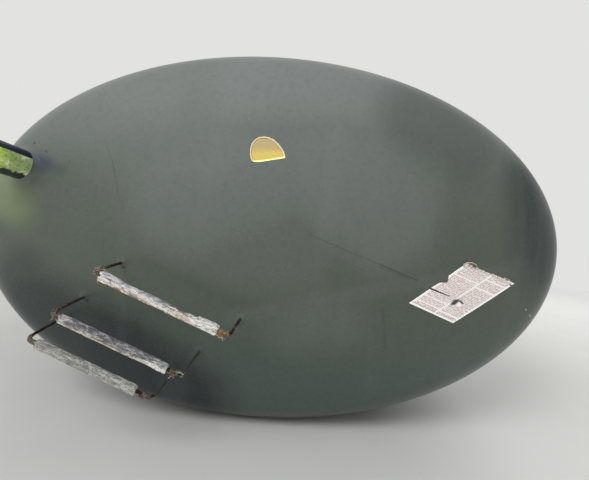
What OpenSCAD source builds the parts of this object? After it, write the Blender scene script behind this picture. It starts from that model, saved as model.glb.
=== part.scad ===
// Horizontal oval tank with dished ends, laid on the ground.
// Millimetres, +Z up, +Y along the barrel towards the rear end.
// The origin is on the ground below the middle of the barrel.

/* [Tank body] */
// Width of the oval section
section_w = 2400; // [2200:20:2800]
// Height of the oval section
section_h = 1500; // [1400:20:1700]
// Length of one shell ring between two joints
strake_l = 1200; // [1000:20:1600]
// Thickness of the laminate in the shell
wall_t = 12; // [9:1:18]
// Width of the laminated band over a joint
band_w = 150; // [100:10:150]
// Thickness of the laminated band over a joint
band_t = 6; // [4:1:10]

/* [Dished ends] */
// Radius of the shallow crown, on the height of the section
crown_r = 1800; // [1600:20:2200]
// Radius of the knuckle, on the height of the section
knuckle_r = 130; // [110:5:160]
// Length of the straight skirt behind the knuckle
skirt_l = 80; // [75:5:120]
// Thickness of the laminate in the ends
head_t = 12; // [9:1:18]

/* [Half-moon hole] */
// Length of the hole's oval
hole_long = 154; // [120:2:180]
// Width of the hole's oval
hole_d = 110; // [90:2:140]
// Turn of the oval's length, down to the right
hole_turn = 58; // [45:1:70]
// Place of the hole to the right of the middle
hole_u = -12; // [-60:2:40]
// Height of the hole's centre above the middle
hole_v = 285; // [260:5:360]
// Height of the flat sill below the hole's centre
sill_drop = 8; // [5:1:40]
// Slope of the sill, rising to the right
sill_slope = 13; // [0:1:20]

/* [Rungs] */
// Length of the laminated tread
tread_l = 404; // [340:2:460]
// Breadth of the tread along the ladder
tread_w = 34; // [28:1:44]
// Depth of the tread, out from the tank
tread_d = 22; // [18:1:30]
// Diameter of the steel rod
rod_d = 12; // [10:1:16]
// Distance between the two legs of a rung
leg_gap = 472; // [460:2:520]
// Distance of the rod's middle from the tank
leg_h = 140; // [110:5:180]
// Bend radius of the rod's middle line
bend_r = 24; // [20:1:28]
// Place of the upper rung to the right of the middle
rung_u = -292; // [-330:2:-250]
// Height of the upper rung above the middle
rung_v = -214; // [-250:2:-180]
// Step from the upper rung to the middle one
upper_step = 203; // [180:1:215]
// Step from the middle rung to the lower one
lower_step = 134; // [110:1:145]
// Slope of the line that the rungs follow, down to the left
ladder_slope = 43; // [38:1:48]
// Slope of each rung, down to the right
rung_slope = 21.5; // [15:0.5:28]
// Diameter of the laminated patch under a leg
pad_d = 56; // [48:2:72]
// Thickness of the patch under a leg
pad_t = 6; // [4:1:8]

/* [Side stub] */
// Outer diameter of the pipe stub
stub_d = 116; // [90:2:140]
// Thickness of the stub's wall
stub_t = 6; // [4:1:9]
// Length of the stub
stub_l = 190; // [140:5:240]
// Distance of the stub's axis from the tank's left side
stub_in = 238; // [220:2:300]
// Height of the stub above the middle
stub_v = 214; // [180:2:240]
// Breadth of the laminated collar round the stub
stub_collar_rim = 30; // [20:2:40]

/* [Manway] */
// Bore of the manway
manway_bore = 600; // [500:10:700]
// Thickness of the manway's neck
manway_wall = 12; // [9:1:16]
// Height of the manway's flange face above the shell
manway_h = 190; // [150:10:260]
// Outer diameter of the manway's flange
manway_od = 760; // [740:10:900]
// Thickness of the manway's flange
manway_ft = 24; // [18:1:32]
// Bolt circle of the manway's flange
manway_pcd = 704; // [690:2:714]
// Diameter of the manway's bolt holes
manway_hole = 22; // [18:1:26]
// Thickness of the manway's gasket
manway_gasket_t = 5; // [3:1:8]
// Thickness of the manway's cover at its rim
cover_t = 20; // [16:1:28]
// Rise of the manway's cover at its middle
cover_rise = 60; // [30:5:90]
// Number of bolts round the manway
manway_bolts = 12; // [8:2:16]
// Breadth of the laminated collar round the manway
manway_collar_rim = 70; // [50:5:90]
// Radius of the cover's handle
handle_r = 70; // [50:5:90]
// Thickness of the handle's bar
handle_d = 14; // [10:1:18]

/* [Nozzles] */
// Bore of the filling nozzle
fill_bore = 80; // [65:5:100]
// Bore of the vent
vent_bore = 50; // [40:5:65]
// Bore of the outlet
outlet_bore = 100; // [80:5:110]
// Thickness of the nozzles' walls
nozzle_wall = 8; // [6:1:10]
// Height of the filling nozzle's flange face above the shell
fill_h = 150; // [120:10:200]
// Height of the vent's straight pipe above the shell
vent_h = 130; // [100:10:180]
// Bend radius of the vent's gooseneck
vent_bend = 70; // [60:5:90]
// Depth of the outlet below the middle
outlet_drop = 500; // [440:10:510]
// Reach of the outlet's flange face beyond the barrel's end
outlet_reach = 395; // [360:5:440]
// Breadth of a nozzle's flange outside its bore
flange_rim = 60; // [55:1:70]
// Thickness of a nozzle's flange
flange_t = 20; // [16:1:26]
// Diameter of a nozzle's bolt holes
flange_hole = 18; // [14:1:20]
// Distance of the bolt circle outside the bore
flange_bolt_offset = 40; // [38:1:42]
// Number of bolts round a nozzle's flange
nozzle_bolts = 8; // [4:4:8]
// Thickness of the filling nozzle's gasket
fill_gasket_t = 3; // [2:1:5]
// Breadth of the laminated collar round a nozzle
nozzle_collar_rim = 40; // [30:2:60]
// Thickness of all the laminated collars
collar_t = 8; // [6:1:12]
// Height of the ring that clamps the vent's screen
screen_h = 16; // [10:1:24]
// Thickness of the vent's screen with its backing
screen_t = 2; // [1:0.5:4]

/* [Lifting lugs] */
// Distance of each lug from the tank's middle plane
lug_u = 520; // [440:10:600]
// Distance of each lug from the barrel's middle
lug_y = 1200; // [1100:10:1250]
// Length of a lug at its foot
lug_l = 180; // [150:5:220]
// Height of a lug's eye above its foot
lug_h = 90; // [75:5:120]
// Thickness of a lug
lug_t = 16; // [12:1:24]
// Diameter of a lug's eye
lug_eye = 40; // [30:2:46]
// Thickness of the laminated patch under a lug
lug_pad_t = 8; // [6:1:12]
// Breadth of the patch beyond the lug
lug_pad_rim = 40; // [30:2:60]

/* [Hidden] */

// Flat sides round the oval, and steps along the crown and the knuckle
sides = 80;
crown_steps = 8;
knuckle_steps = 5;
// Sides of the rungs' rods, and of a full turn of their bends
rod_sides = 12;
bend_sides = 32;
// Roundings
$fn = 48;
// Play between parts that fit over each other
play = 0.2;
// A little extra so that cuts go right through
over = 1;
// How far a rod's straight lengths reach into its bend
lap = 0.05;

half_w = section_w / 2;
half_h = section_h / 2;
stretch = half_w / half_h;
stub_u = stub_in - half_w;
// The flat sides touch the true oval at their middles
flat_k = 1 / cos(180 / sides);
axis_z = half_h + band_t;
barrel_half = 1.5 * strake_l;
rim_y = barrel_half + skirt_l;
crown_x = half_h - knuckle_r;
tangent_a = asin(crown_x / (crown_r - knuckle_r));
head_h = crown_r - (crown_r - knuckle_r) * cos(tangent_a);
manway_face = axis_z + half_h + manway_h;
fill_face = axis_z + half_h + fill_h;
outlet_y = rim_y + outlet_reach;

shell_green = [0.33, 0.37, 0.31];
band_green = [0.36, 0.40, 0.33];
tread_white = [0.72, 0.72, 0.72];
rust = [0.36, 0.25, 0.19];
stub_lime = [0.62, 0.72, 0.38];
steel = [0.55, 0.56, 0.57];
black = [0.10, 0.10, 0.10];

// Outline of the oval, each side's middle on the true ellipse, grown by g
function oval(g) = [
    for (i = [0:sides - 1])
        let (a = (i + 0.5) * 360 / sides)
            [(half_w + g) * flat_k * cos(a), (half_h + g) * flat_k * sin(a)]
];

// Solid oval bar between two places along the barrel
module oval_bar(y0, y1, g = 0) {
    translate([0, y1, axis_z])
        rotate([90, 0, 0])
            linear_extrude(height = y1 - y0)
                polygon(oval(g));
}

// Oval ring between two places along the barrel
module oval_ring(y0, y1, inner, outer) {
    translate([0, y1, axis_z])
        rotate([90, 0, 0])
            linear_extrude(height = y1 - y0)
                difference() {
                    polygon(oval(outer));
                    polygon(oval(inner));
                }
}

// Height of the dished surface over the rim at a share s of the section's radius
function dish_at(s) =
    let (r = s * half_h)
        r <= crown_r * sin(tangent_a)
            ? head_h - crown_r + sqrt(crown_r * crown_r - r * r)
            : sqrt(max(0, knuckle_r * knuckle_r - pow(r - crown_x, 2)));

// Share of the section's radius at a place on the end
function share(u, v) = sqrt(pow(u / half_w, 2) + pow(v / half_h, 2));

// Slope of the crown against the share's radius
function crown_slope(u, v) =
    let (r = share(u, v) * half_h)
        r / sqrt(crown_r * crown_r - r * r);

// Outward normal of the crown at a place, as side, out and up
function crown_normal(u, v) =
    let (
        s = max(share(u, v), 0.0001),
        m = crown_slope(u, v) * half_h / s,
        n = [m * u / pow(half_w, 2), 1, m * v / pow(half_h, 2)]
    )
        n / norm(n);

// Puts its child on the front end, local +Z straight out of the surface
module on_front(u, v) {
    n = crown_normal(u, v);
    translate([u, -rim_y - dish_at(share(u, v)), axis_z + v])
        rotate([90 - asin(n[2]), 0, atan2(n[0], n[1])])
            children();
}

// Puts its child on the rear end, local +Z straight out of the surface
module on_rear(u, v) {
    mirror([0, 1, 0])
        on_front(u, v)
            children();
}

// Profile of a dished end from its open side up to the crown, t inside the outer face
function dish_profile(t) = concat(
    [[half_h - t, -skirt_l]],
    [
        for (i = [0:knuckle_steps])
            let (a = i * (90 - tangent_a) / knuckle_steps)
                [crown_x + (knuckle_r - t) * cos(a), (knuckle_r - t) * sin(a)]
    ],
    [
        for (i = [1:crown_steps - 1])
            let (a = tangent_a * (1 - i / crown_steps))
                [(crown_r - t) * sin(a), head_h - crown_r + (crown_r - t) * cos(a)]
    ]
);

// One oval ring of points for each point of the profile
function dish_rings(t) = [
    for (p = dish_profile(t))
        [for (q = oval(-t)) [q[0] * p[0] / (half_h - t), q[1] * p[0] / (half_h - t), p[1]]]
];

// Oval dished end with its skirt, standing on its open side. Its skin runs from the middle of
// the outer crown down to the open edge, over it, and up inside to the middle of the inner crown.
module dished_end() {
    outer = dish_rings(0);
    rings = concat([for (i = [len(outer) - 1:-1:0]) outer[i]], dish_rings(head_t));
    last = len(rings) * sides + 1;
    polyhedron(
        points = concat([[0, 0, head_h]], [for (ring = rings) each ring], [[0, 0, head_h - head_t]]),
        faces = [
            for (i = [0:sides - 1])
                let (k = (i + 1) % sides, foot = last - sides)
                    each concat(
                        [[0, 1 + k, 1 + i], [foot + i, foot + k, last]],
                        [
                            for (j = [0:len(rings) - 2])
                                let (at = 1 + j * sides)
                                    [at + i, at + k, at + sides + k, at + sides + i]
                        ]
                    )
        ]
    );
}

// Half-moon: a tilted oval hole closed below its sill
module half_moon() {
    difference() {
        rotate(-hole_turn)
            polygon([for (a = [0:360 / $fn:359]) [hole_long / 2 * cos(a), hole_d / 2 * sin(a)]]);
        rotate(sill_slope)
            translate([-hole_long, -hole_long - sill_drop])
                square([2 * hole_long, hole_long]);
    }
}

module front_head() {
    color(shell_green)
        difference() {
            translate([0, -rim_y, axis_z])
                rotate([90, 0, 0])
                    dished_end();
            translate([hole_u, -rim_y, axis_z + hole_v])
                rotate([90, 0, 0])
                    linear_extrude(height = 2 * head_h)
                        half_moon();
            on_front(stub_u, stub_v)
                cylinder(d = stub_d - 2 * stub_t, h = 6 * head_t, center = true);
        }
}

module rear_head() {
    color(shell_green)
        difference() {
            translate([0, rim_y, axis_z])
                rotate([90, 0, 180])
                    dished_end();
            translate([0, rim_y, axis_z - outlet_drop])
                rotate([-90, 0, 0])
                    cylinder(d = outlet_bore, h = 2 * head_h);
        }
}

module shell_front() {
    color(shell_green)
        difference() {
            oval_ring(-barrel_half, -strake_l / 2, -wall_t, 0);
            top_hole(-strake_l, vent_bore);
        }
}

module shell_middle() {
    color(shell_green)
        difference() {
            oval_ring(-strake_l / 2, strake_l / 2, -wall_t, 0);
            top_hole(0, manway_bore);
        }
}

module shell_rear() {
    color(shell_green)
        difference() {
            oval_ring(strake_l / 2, barrel_half, -wall_t, 0);
            top_hole(strake_l, fill_bore);
        }
}

// Round hole down through the top of the shell
module top_hole(y, d) {
    translate([0, y, axis_z])
        cylinder(d = d, h = section_h);
}

// Laminated band over a joint
module joint_band(y) {
    color(band_green)
        oval_ring(y - band_w / 2, y + band_w / 2, 0, band_t);
}

module front_joint_band() { joint_band(-barrel_half); }
module strake_band_front() { joint_band(-strake_l / 2); }
module strake_band_rear() { joint_band(strake_l / 2); }
module rear_joint_band() { joint_band(barrel_half); }

// Distance of rung i from the upper one along the ladder's line
function rung_step(i) = i == 0 ? 0 : i == 1 ? upper_step : upper_step + lower_step;

// Place of rung i on the end, to the right and up
function rung_at(i) = [rung_u - rung_step(i) * cos(ladder_slope), rung_v - rung_step(i) * sin(ladder_slope)];

// Puts its child at rung i, local +X along the rung and +Z out from the tank
module at_rung(i) {
    on_front(rung_at(i)[0], rung_at(i)[1])
        rotate([0, 0, -rung_slope])
            children();
}

// Direction along a rung that stands on the normal n, as side, out and up
function rung_along(n) =
    let (turn = atan2(n[0], n[1]), rise = asin(n[2]))
        [
            cos(rung_slope) * cos(turn) + sin(rung_slope) * sin(turn) * sin(rise),
            sin(rung_slope) * cos(turn) * sin(rise) - cos(rung_slope) * sin(turn),
            -sin(rung_slope) * cos(rise)
        ];

// Foot of the leg of rung i on side dir: its place on the end to the right and up, how deep it
// lies below the rung's own plane, and how much the surface tilts there against that plane
function leg_foot(i, dir) =
    let (
        at = rung_at(i),
        n = crown_normal(at[0], at[1]),
        q = [at[0], dish_at(share(at[0], at[1])), at[1]] + dir * leg_gap / 2 * rung_along(n),
        f = crown_normal(q[0], q[2]),
        sag = (q[1] - dish_at(share(q[0], q[2]))) * f[1] / (f * n)
    )
        [q[0] - sag * n[0], q[2] - sag * n[2], sag, acos(f * n)];

// One leg with its bend and the end of the bar, up to the tread
module half_rod(i, dir) {
    foot = leg_foot(i, dir);
    leg_end = rod_d / 2 * tan(foot[3]) + 2 * play - foot[2];
    bar = leg_gap / 2 - bend_r - tread_l / 2;
    translate([dir * leg_gap / 2, 0, leg_end])
        cylinder(d = rod_d, h = leg_h - bend_r - leg_end + lap, $fn = rod_sides);
    translate([dir * (leg_gap / 2 - bend_r), 0, leg_h - bend_r])
        rotate([90, 0, dir > 0 ? 0 : 180])
            rotate_extrude(angle = 90, $fn = bend_sides)
                translate([bend_r, 0])
                    circle(d = rod_d, $fn = rod_sides);
    translate([dir * (leg_gap / 2 - bend_r + lap), 0, leg_h])
        rotate([0, -dir * 90, 0])
            cylinder(d = rod_d, h = bar + lap, $fn = rod_sides);
}

module rung_rod(i) {
    color(rust)
        at_rung(i)
            for (dir = [-1, 1])
                half_rod(i, dir);
}

module rung_upper_rod() { rung_rod(0); }
module rung_middle_rod() { rung_rod(1); }
module rung_lower_rod() { rung_rod(2); }

// Rounded section of the laminated tread
module tread_section() {
    r = tread_d / 3;
    square([tread_d, tread_w - 2 * r], center = true);
    square([tread_d - 2 * r, tread_w], center = true);
    for (x = [-1, 1], y = [-1, 1])
        translate([x * (tread_d / 2 - r), y * (tread_w / 2 - r)])
            circle(r = r);
}

module rung_tread(i) {
    color(tread_white)
        at_rung(i)
            translate([-tread_l / 2, 0, leg_h])
                rotate([0, 90, 0])
                    linear_extrude(height = tread_l)
                        tread_section();
}

module rung_upper_tread() { rung_tread(0); }
module rung_middle_tread() { rung_tread(1); }
module rung_lower_tread() { rung_tread(2); }

// Laminated patches that hold the legs on the end, each with the hole of its leg
module rung_pads() {
    color(band_green)
        for (i = [0:2], dir = [-1, 1])
            difference() {
                on_front(leg_foot(i, dir)[0], leg_foot(i, dir)[1])
                    translate([0, 0, play])
                        rotate_extrude()
                            polygon([[0, 0], [pad_d / 2, 0], [pad_d / 2, pad_t / 3], [rod_d, pad_t], [0, pad_t]]);
                at_rung(i)
                    translate([dir * leg_gap / 2, 0, 0])
                        cylinder(d = rod_d + 2 * play, h = leg_h, center = true, $fn = rod_sides);
            }
}

module side_stub() {
    color(stub_lime)
        on_front(stub_u, stub_v)
            difference() {
                cylinder(d = stub_d, h = stub_l);
                translate([0, 0, -over])
                    cylinder(d = stub_d - 2 * stub_t, h = stub_l + 2 * over);
            }
}

// Laminated collar round a pipe, thinner towards its edge
module collar(inner_d, breadth) {
    rotate_extrude()
        polygon([
            [inner_d / 2 + play, 0], [inner_d / 2 + breadth, 0], [inner_d / 2 + breadth, collar_t / 3],
            [inner_d / 2 + breadth / 3, collar_t], [inner_d / 2 + play, collar_t]
        ]);
}

module side_stub_collar() {
    color(band_green)
        on_front(stub_u, stub_v)
            collar(stub_d, stub_collar_rim);
}

// Pipe that stands on top of the shell and follows its curve
module top_neck(y, bore, wall, h) {
    difference() {
        translate([0, y, axis_z])
            cylinder(d = bore + 2 * wall, h = half_h + h);
        translate([0, y, axis_z - over])
            cylinder(d = bore, h = half_h + h + 2 * over);
        oval_bar(y - bore, y + bore);
    }
}

// Laminated collar on the shell round a top pipe
module top_collar(y, d, breadth) {
    difference() {
        intersection() {
            translate([0, y, axis_z])
                cylinder(d = d + 2 * breadth, h = section_h);
            oval_bar(y - d, y + d, collar_t);
        }
        oval_bar(y - 2 * d, y + 2 * d);
        translate([0, y, axis_z])
            cylinder(d = d + 2 * play, h = section_h);
    }
}

// Round plate with a bore and a ring of bolt holes
module bolted_ring(od, bore, t, pcd, hole, count) {
    difference() {
        cylinder(d = od, h = t);
        if (bore > 0)
            translate([0, 0, -over])
                cylinder(d = bore, h = t + 2 * over);
        for (i = [0:count - 1])
            rotate([0, 0, (i + 0.5) * 360 / count])
                translate([pcd / 2, 0, -over])
                    cylinder(d = hole, h = t + 2 * over);
    }
}

module manway_neck() {
    color(shell_green)
        top_neck(0, manway_bore, manway_wall, manway_h);
}

module manway_collar() {
    color(band_green)
        top_collar(0, manway_bore + 2 * manway_wall, manway_collar_rim);
}

// The flange sits round the top of the neck
module manway_flange() {
    color(shell_green)
        translate([0, 0, manway_face - manway_ft])
            bolted_ring(manway_od, manway_bore + 2 * manway_wall + 2 * play, manway_ft,
                        manway_pcd, manway_hole, manway_bolts);
}

module manway_gasket() {
    color(black)
        translate([0, 0, manway_face])
            bolted_ring(manway_od, manway_bore, manway_gasket_t, manway_pcd, manway_hole, manway_bolts);
}

// Domed cover with a flat bolting rim
module manway_cover() {
    dome_r = manway_bore / 2;
    ball_r = (dome_r * dome_r + cover_rise * cover_rise) / (2 * cover_rise);
    color(shell_green)
        translate([0, 0, manway_face + manway_gasket_t]) {
            bolted_ring(manway_od, 0, cover_t, manway_pcd, manway_hole, manway_bolts);
            translate([0, 0, cover_t + cover_rise - ball_r])
                intersection() {
                    sphere(r = ball_r, $fn = 96);
                    translate([0, 0, ball_r - cover_rise])
                        cylinder(r = dome_r, h = 2 * cover_rise);
                }
        }
}

// Bent bar handle on the middle of the cover
module cover_handle() {
    top = manway_face + manway_gasket_t + cover_t + cover_rise;
    sag = pow(handle_r, 2) * cover_rise / (pow(manway_bore / 2, 2) + pow(cover_rise, 2));
    color(steel)
        translate([0, 0, top - sag])
            rotate([90, 0, 0])
                rotate_extrude(angle = 180)
                    translate([handle_r, 0])
                        circle(d = handle_d);
}

// Standard flange of a nozzle with the given bore
module nozzle_flange(bore) {
    bolted_ring(bore + 2 * flange_rim, bore + 2 * nozzle_wall + 2 * play, flange_t,
                bore + 2 * flange_bolt_offset, flange_hole, nozzle_bolts);
}

module fill_neck() {
    color(shell_green)
        top_neck(strake_l, fill_bore, nozzle_wall, fill_h);
}

module fill_collar() {
    color(band_green)
        top_collar(strake_l, fill_bore + 2 * nozzle_wall, nozzle_collar_rim);
}

module fill_flange() {
    color(shell_green)
        translate([0, strake_l, fill_face - flange_t])
            nozzle_flange(fill_bore);
}

module fill_gasket() {
    color(black)
        translate([0, strake_l, fill_face])
            bolted_ring(fill_bore + 2 * flange_rim, fill_bore, fill_gasket_t,
                        fill_bore + 2 * flange_bolt_offset, flange_hole, nozzle_bolts);
}

module fill_blind() {
    color(shell_green)
        translate([0, strake_l, fill_face + fill_gasket_t])
            bolted_ring(fill_bore + 2 * flange_rim, 0, flange_t,
                        fill_bore + 2 * flange_bolt_offset, flange_hole, nozzle_bolts);
}

// Straight pipe with a gooseneck that points down to the rear
module vent_pipe() {
    od = vent_bore + 2 * nozzle_wall;
    bend_z = axis_z + half_h + vent_h;
    color(shell_green) {
        top_neck(-strake_l, vent_bore, nozzle_wall, vent_h);
        translate([0, vent_bend - strake_l, bend_z])
            rotate([90, 0, -90])
                rotate_extrude(angle = 180)
                    translate([vent_bend, 0])
                        difference() {
                            circle(d = od);
                            circle(d = vent_bore);
                        }
    }
}

module vent_collar() {
    color(band_green)
        top_collar(-strake_l, vent_bore + 2 * nozzle_wall, nozzle_collar_rim);
}

// Ring that clamps the insect screen on the vent's mouth
module vent_screen() {
    od = vent_bore + 2 * nozzle_wall;
    color(steel)
        translate([0, 2 * vent_bend - strake_l, axis_z + half_h + vent_h - screen_h]) {
            difference() {
                cylinder(d = od, h = screen_h);
                translate([0, 0, screen_t])
                    cylinder(d = vent_bore, h = screen_h);
            }
        }
}

// The neck is cut to the rear end's surface
module outlet_neck() {
    od = outlet_bore + 2 * nozzle_wall;
    seat = rim_y + dish_at(share(0, outlet_drop));
    color(shell_green)
        difference() {
            translate([0, outlet_y, axis_z - outlet_drop])
                rotate([90, 0, 0])
                    cylinder(d = od, h = outlet_y - seat + od);
            translate([0, outlet_y + over, axis_z - outlet_drop])
                rotate([90, 0, 0])
                    cylinder(d = outlet_bore, h = outlet_y - seat + 2 * od);
            on_rear(0, -outlet_drop)
                translate([-2 * od, -2 * od, -2 * od])
                    cube([4 * od, 4 * od, 2 * od]);
        }
}

module outlet_collar() {
    od = outlet_bore + 2 * nozzle_wall;
    color(band_green)
        difference() {
            on_rear(0, -outlet_drop)
                cylinder(d1 = od + 2 * nozzle_collar_rim, d2 = od + nozzle_collar_rim, h = collar_t);
            translate([0, outlet_y, axis_z - outlet_drop])
                rotate([90, 0, 0])
                    cylinder(d = od + 2 * play, h = outlet_reach);
        }
}

module outlet_flange() {
    color(shell_green)
        translate([0, outlet_y, axis_z - outlet_drop])
            rotate([90, 0, 0])
                nozzle_flange(outlet_bore);
}

// Height of the shell over its middle at a distance from the middle plane
function shell_v(u) = half_h * sqrt(1 - pow(u / half_w, 2));

// Outline of a lug: a round head on sides that spread to the foot
lug_outline = concat(
    [for (a = [-10:10:190]) [lug_eye * cos(a), lug_eye * sin(a)]],
    [
        [-lug_l / 2, lug_pad_t - lug_h], [-lug_l / 2, -2 * lug_h],
        [lug_l / 2, -2 * lug_h], [lug_l / 2, lug_pad_t - lug_h]
    ]
);

// Plate with an eye, cut to the curve of the shell's patch
module lug(side, y) {
    eye_z = axis_z + shell_v(lug_u) + lug_h;
    color(steel)
        difference() {
            translate([side * lug_u - lug_t / 2, y, eye_z])
                rotate([90, 0, 90])
                    linear_extrude(height = lug_t)
                        difference() {
                            polygon(lug_outline);
                            circle(d = lug_eye);
                        }
            oval_bar(y - lug_l, y + lug_l, lug_pad_t);
        }
}

module lug_front_left() { lug(-1, -lug_y); }
module lug_front_right() { lug(1, -lug_y); }
module lug_rear_left() { lug(-1, lug_y); }
module lug_rear_right() { lug(1, lug_y); }

// Laminated patches under the lifting lugs
module lug_pads() {
    color(band_green)
        for (side = [-1, 1], end = [-1, 1])
            difference() {
                intersection() {
                    translate([side * lug_u - lug_pad_rim - lug_t / 2, end * lug_y - lug_l / 2 - lug_pad_rim, axis_z])
                        cube([2 * lug_pad_rim + lug_t, lug_l + 2 * lug_pad_rim, section_h]);
                    oval_bar(end * lug_y - lug_l, end * lug_y + lug_l, lug_pad_t);
                }
                oval_bar(end * lug_y - lug_l - over, end * lug_y + lug_l + over);
            }
}

shell_front();
shell_middle();
shell_rear();
front_head();
rear_head();
front_joint_band();
strake_band_front();
strake_band_rear();
rear_joint_band();
rung_upper_rod();
rung_middle_rod();
rung_lower_rod();
rung_upper_tread();
rung_middle_tread();
rung_lower_tread();
rung_pads();
side_stub();
side_stub_collar();
manway_neck();
manway_collar();
manway_flange();
manway_gasket();
manway_cover();
cover_handle();
fill_neck();
fill_collar();
fill_flange();
fill_gasket();
fill_blind();
vent_pipe();
vent_collar();
vent_screen();
outlet_neck();
outlet_collar();
outlet_flange();
lug_front_left();
lug_front_right();
lug_rear_left();
lug_rear_right();
lug_pads();
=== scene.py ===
"""Looks of a horizontal oval glass-fibre tank with dished ends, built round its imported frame."""

from contextlib import contextmanager
from math import asin, atan2, cos, exp, hypot, log, pi, radians, sin, sqrt

import bmesh
import bpy
from mathutils import Matrix, Vector, noise


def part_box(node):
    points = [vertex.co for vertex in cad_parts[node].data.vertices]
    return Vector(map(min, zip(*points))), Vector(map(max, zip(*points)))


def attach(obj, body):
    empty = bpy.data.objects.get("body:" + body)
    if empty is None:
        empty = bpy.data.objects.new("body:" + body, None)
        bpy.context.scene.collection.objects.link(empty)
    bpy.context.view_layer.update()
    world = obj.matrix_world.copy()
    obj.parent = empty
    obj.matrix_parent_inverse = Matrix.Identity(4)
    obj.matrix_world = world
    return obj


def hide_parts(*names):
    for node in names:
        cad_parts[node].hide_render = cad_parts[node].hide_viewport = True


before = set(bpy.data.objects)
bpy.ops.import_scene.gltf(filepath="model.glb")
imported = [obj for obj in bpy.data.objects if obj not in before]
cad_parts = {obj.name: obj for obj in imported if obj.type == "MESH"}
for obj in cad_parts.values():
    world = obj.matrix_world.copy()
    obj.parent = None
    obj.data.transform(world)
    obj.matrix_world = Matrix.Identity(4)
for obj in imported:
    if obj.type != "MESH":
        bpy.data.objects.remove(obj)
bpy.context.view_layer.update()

bl_info = {
    "name": "Oval glass-fibre tank",
    "version": (1, 0, 0),
    "blender": (4, 5, 0),
    "location": "3D View > Sidebar > Tank",
    "description": "Builds the looks of a horizontal oval tank with dished ends round its packed frame",
    "category": "Object",
}

# Sizes that the frame gives, in metres
HALF_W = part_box("shell_middle")[1].x
HALF_H = (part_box("shell_middle")[1].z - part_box("shell_middle")[0].z) / 2
AXIS_Z = (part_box("shell_middle")[1].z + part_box("shell_middle")[0].z) / 2
RING_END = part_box("shell_middle")[1].y
BARREL_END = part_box("shell_rear")[1].y
TANK_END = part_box("rear_head")[1].y

# The dished ends: radius of the crown and of the knuckle, as their frame has them
CROWN = 1.8
KNUCKLE = 0.13
CROWN_X = HALF_H - KNUCKLE
DISH = CROWN - sqrt((CROWN - KNUCKLE) ** 2 - CROWN_X ** 2)
CROWN_EDGE = CROWN * CROWN_X / (CROWN - KNUCKLE)
RIM_Y = TANK_END - DISH

# From a ring's own frame, +Z out of the tank, to each end
TO_FRONT = Matrix.Translation((0, 0, AXIS_Z)) @ Matrix.Rotation(pi / 2, 4, "X")
TO_REAR = Matrix.Translation((0, 0, AXIS_Z)) @ Matrix.Rotation(-pi / 2, 4, "X")
FULL = 2 * pi
BLACK = (0.0, 0.0, 0.0, 1.0)

# Bores of the fittings, and the breadth of the manway's gasket, in metres
VENT_BORE = 0.050
FILL_BORE = 0.080
OUTLET_BORE = 0.100
MANWAY_RIM = 0.080


def srgb(red, green, blue):
    """Colour of a material from its screen values of 0 to 255."""
    return tuple(((c / 255 + 0.055) / 1.055) ** 2.4 for c in (red, green, blue)) + (1.0,)


def length(label, text, default):
    """A size that a user may change."""
    return bpy.props.FloatProperty(name=label, description=text, default=default, unit="LENGTH", precision=4)


def tint(label, text, red, green, blue):
    """A colour that a user may change, from its screen values."""
    return bpy.props.FloatVectorProperty(
        name=label, description=text, default=srgb(red, green, blue)[:3],
        subtype="COLOR", size=3, min=0, max=1,
    )


class TankSizes(bpy.types.PropertyGroup):
    """Sizes of what is built on the frame."""

    wall: length("Wall", "Thickness of the ends and the rings", 0.012)
    band_w: length("Band width", "Breadth of the laminate over a joint", 0.15)
    band_t: length("Band thickness", "Thickness of the laminate over a joint", 0.006)
    wave: length("Waviness", "Depth of the waves in the hand-laid surface", 0.0016)
    hole_long: length("Hole length", "Length of the half-moon hole's oval", 0.154)
    hole_d: length("Hole width", "Width of the half-moon hole's oval", 0.110)
    hole_u: length("Hole right", "Middle of the hole to the right of the end's middle", -0.012)
    hole_v: length("Hole up", "Middle of the hole above the end's middle", 0.285)
    sill_drop: length("Sill", "Depth of the hole's sill under its middle", 0.008)
    rim_in: length("Rim", "How far the hole's rough rim reaches into it", 0.002)
    chamfer: length("Chamfer", "Breadth of the hole's rough outer edge", 0.006)
    sill_edge: length("Sill edge", "Breadth of the sill's rough outer edge", 0.007)
    tread_l: length("Tread length", "Length of a rung's laminated tread", 0.404)
    tread_w: length("Tread width", "Width of a tread", 0.034)
    tread_d: length("Tread depth", "Depth of a tread", 0.022)
    rod_d: length("Rod", "Diameter of the rungs' steel", 0.012)
    leg_gap: length("Leg gap", "Distance between the legs of a rung", 0.472)
    leg_h: length("Leg height", "Distance of a tread from the end", 0.140)
    bend_r: length("Bend", "Radius of the rod's bends", 0.024)
    patch_d: length("Patch", "Width of the resin patch under a leg", 0.056)
    stub_d: length("Stub", "Outer diameter of the side stub", 0.116)
    stub_t: length("Stub wall", "Wall of the side stub", 0.006)
    stub_l: length("Stub length", "Length of the side stub", 0.190)
    sheet_lift: length("Sheet lift", "Distance of the paper sheet from the end", 0.0006)


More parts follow.
